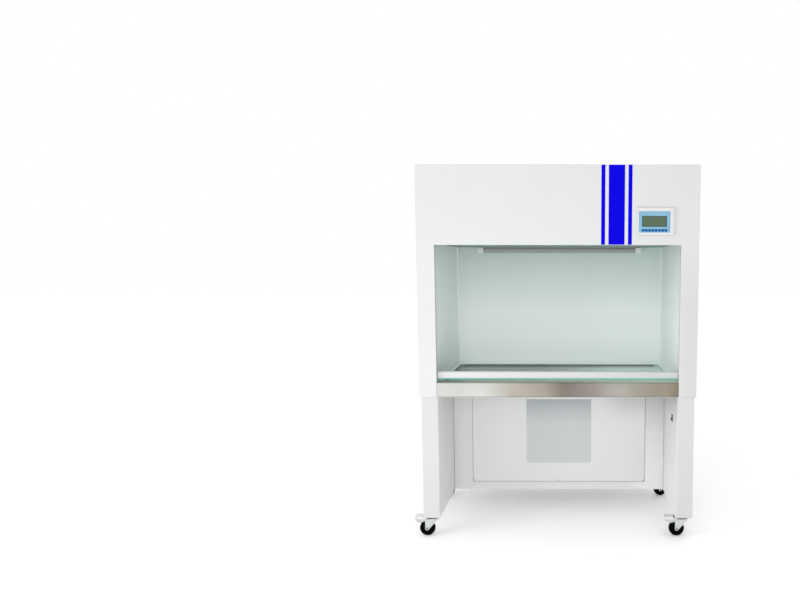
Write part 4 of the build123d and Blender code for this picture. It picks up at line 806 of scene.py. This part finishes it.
HOLE_SIDES = 8
dot_inputs = [
    ("Width", "NodeSocketFloat"),
    ("Depth", "NodeSocketFloat"),
    ("Columns", "NodeSocketInt"),
    ("Rows", "NodeSocketInt"),
    ("Hole Radius", "NodeSocketFloat"),
    ("Material", "NodeSocketMaterial"),
]
dots, start, finish = node_group("dot_grid", dot_inputs)
grid = dots.nodes.new("GeometryNodeMeshGrid")
dot = dots.nodes.new("GeometryNodeMeshCircle")
dot.fill_type = "NGON"
dot.inputs["Vertices"].default_value = HOLE_SIDES
spread = dots.nodes.new("GeometryNodeInstanceOnPoints")
spread.inputs["Rotation"].default_value = (pi, 0.0, 0.0)
real = dots.nodes.new("GeometryNodeRealizeInstances")
paint = dots.nodes.new("GeometryNodeSetMaterial")
for source, target in (
    (start.outputs["Width"], grid.inputs["Size X"]),
    (start.outputs["Depth"], grid.inputs["Size Y"]),
    (start.outputs["Columns"], grid.inputs["Vertices X"]),
    (start.outputs["Rows"], grid.inputs["Vertices Y"]),
    (start.outputs["Hole Radius"], dot.inputs["Radius"]),
    (grid.outputs["Mesh"], spread.inputs["Points"]),
    (dot.outputs["Mesh"], spread.inputs["Instance"]),
    (spread.outputs["Instances"], real.inputs["Geometry"]),
    (real.outputs["Geometry"], paint.inputs["Geometry"]),
    (start.outputs["Material"], paint.inputs["Material"]),
    (paint.outputs["Geometry"], finish.inputs["Geometry"]),
):
    dots.links.new(source, target)

HOLE_PITCH = 0.009
HOLE_RADIUS = 0.0021
PLAIN_MARGIN = 0.015
BELOW_SHEET = 0.0001
screen_low, screen_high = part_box("diffuser")
hole_width = screen_high.x - screen_low.x - 2 * PLAIN_MARGIN
hole_depth = screen_high.y - screen_low.y - 2 * PLAIN_MARGIN
hole_values = {
    "Width": hole_width,
    "Depth": hole_depth,
    "Columns": round(hole_width / HOLE_PITCH) + 1,
    "Rows": round(hole_depth / HOLE_PITCH) + 1,
    "Hole Radius": HOLE_RADIUS,
    "Material": hole_shade,
}
screen_holes = repeated("screen_holes", dots, bpy.data.meshes.new("screen_points"), hole_values)
screen_middle = (screen_low + screen_high) / 2
for vertex in screen_holes.data.vertices:
    vertex.co += Vector((screen_middle.x, screen_middle.y, screen_low.z - BELOW_SHEET))
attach(screen_holes, "hood")


# Studio floor and world: a wide pale floor under an even white sky, which gives the white background and
# keeps the hood's soft shadow. Neither belongs to the hood.
FLOOR_REACH = 30.0
floor_data = bpy.data.meshes.new("studio_floor")
floor_corners = [(-FLOOR_REACH, -FLOOR_REACH, 0.0), (FLOOR_REACH, -FLOOR_REACH, 0.0)]
floor_corners += [(FLOOR_REACH, FLOOR_REACH, 0.0), (-FLOOR_REACH, FLOOR_REACH, 0.0)]
floor_data.from_pydata(floor_corners, [], [(0, 1, 2, 3)])
floor_white = surface("floor_white", (0.97, 0.97, 0.97), 0.8)
floor_shader = floor_white.node_tree.nodes["Principled BSDF"]
floor_shader.inputs["Emission Color"].default_value = (1.0, 1.0, 1.0, 1.0)
floor_shader.inputs["Emission Strength"].default_value = 0.05
floor_data.materials.append(floor_white)
floor = bpy.data.objects.new("studio_floor", floor_data)
bpy.context.scene.collection.objects.link(floor)

world = bpy.data.worlds.new("studio")
world.use_nodes = True
background = world.node_tree.nodes["Background"]
background.inputs["Color"].default_value = (1.0, 1.0, 1.0, 1.0)
background.inputs["Strength"].default_value = 1.0
bpy.context.scene.world = world


# Lights: two square soft lights, one at the left and one in front, both aimed at the work zone. They
# stay out of reflections, so that no bright square shows in the glass or the steel.
WORK_ZONE = Vector((0.0, 0.0, 0.9))
for name, position, size, power in (
    ("key_light", Vector((-3.1, -1.6, 1.0)), 1.6, 34.0),
    ("front_light", Vector((-0.2, -2.8, 1.0)), 1.2, 24.0),
):
    light_data = bpy.data.lights.new(name, "AREA")
    light_data.size = size
    light_data.energy = power
    light = bpy.data.objects.new(name, light_data)
    light.location = position
    light.rotation_euler = (WORK_ZONE - position).to_track_quat("-Z", "Y").to_euler()
    light.visible_glossy = False
    bpy.context.scene.collection.objects.link(light)


# Camera: it stands 3.3 m in front at chest height and looks slightly down. Its lens is shifted, because
# the hood is at the right of the picture.
DOWNWARD = 5.33
LEAN = -0.06
TURN = 0.006
camera_data = bpy.data.cameras.new("camera")
camera_data.lens = 28.26
camera_data.sensor_width = 36.0
camera_data.shift_x = -0.2092
camera_data.shift_y = 0.0305
camera_data.clip_end = 100.0
camera = bpy.data.objects.new("camera", camera_data)
camera.location = (0.045, -3.27, 1.302)
camera.rotation_euler = (radians(90.0 - DOWNWARD), radians(LEAN), radians(TURN))
bpy.context.scene.collection.objects.link(camera)
bpy.context.scene.camera = camera
bpy.context.scene.view_settings.view_transform = "Standard"
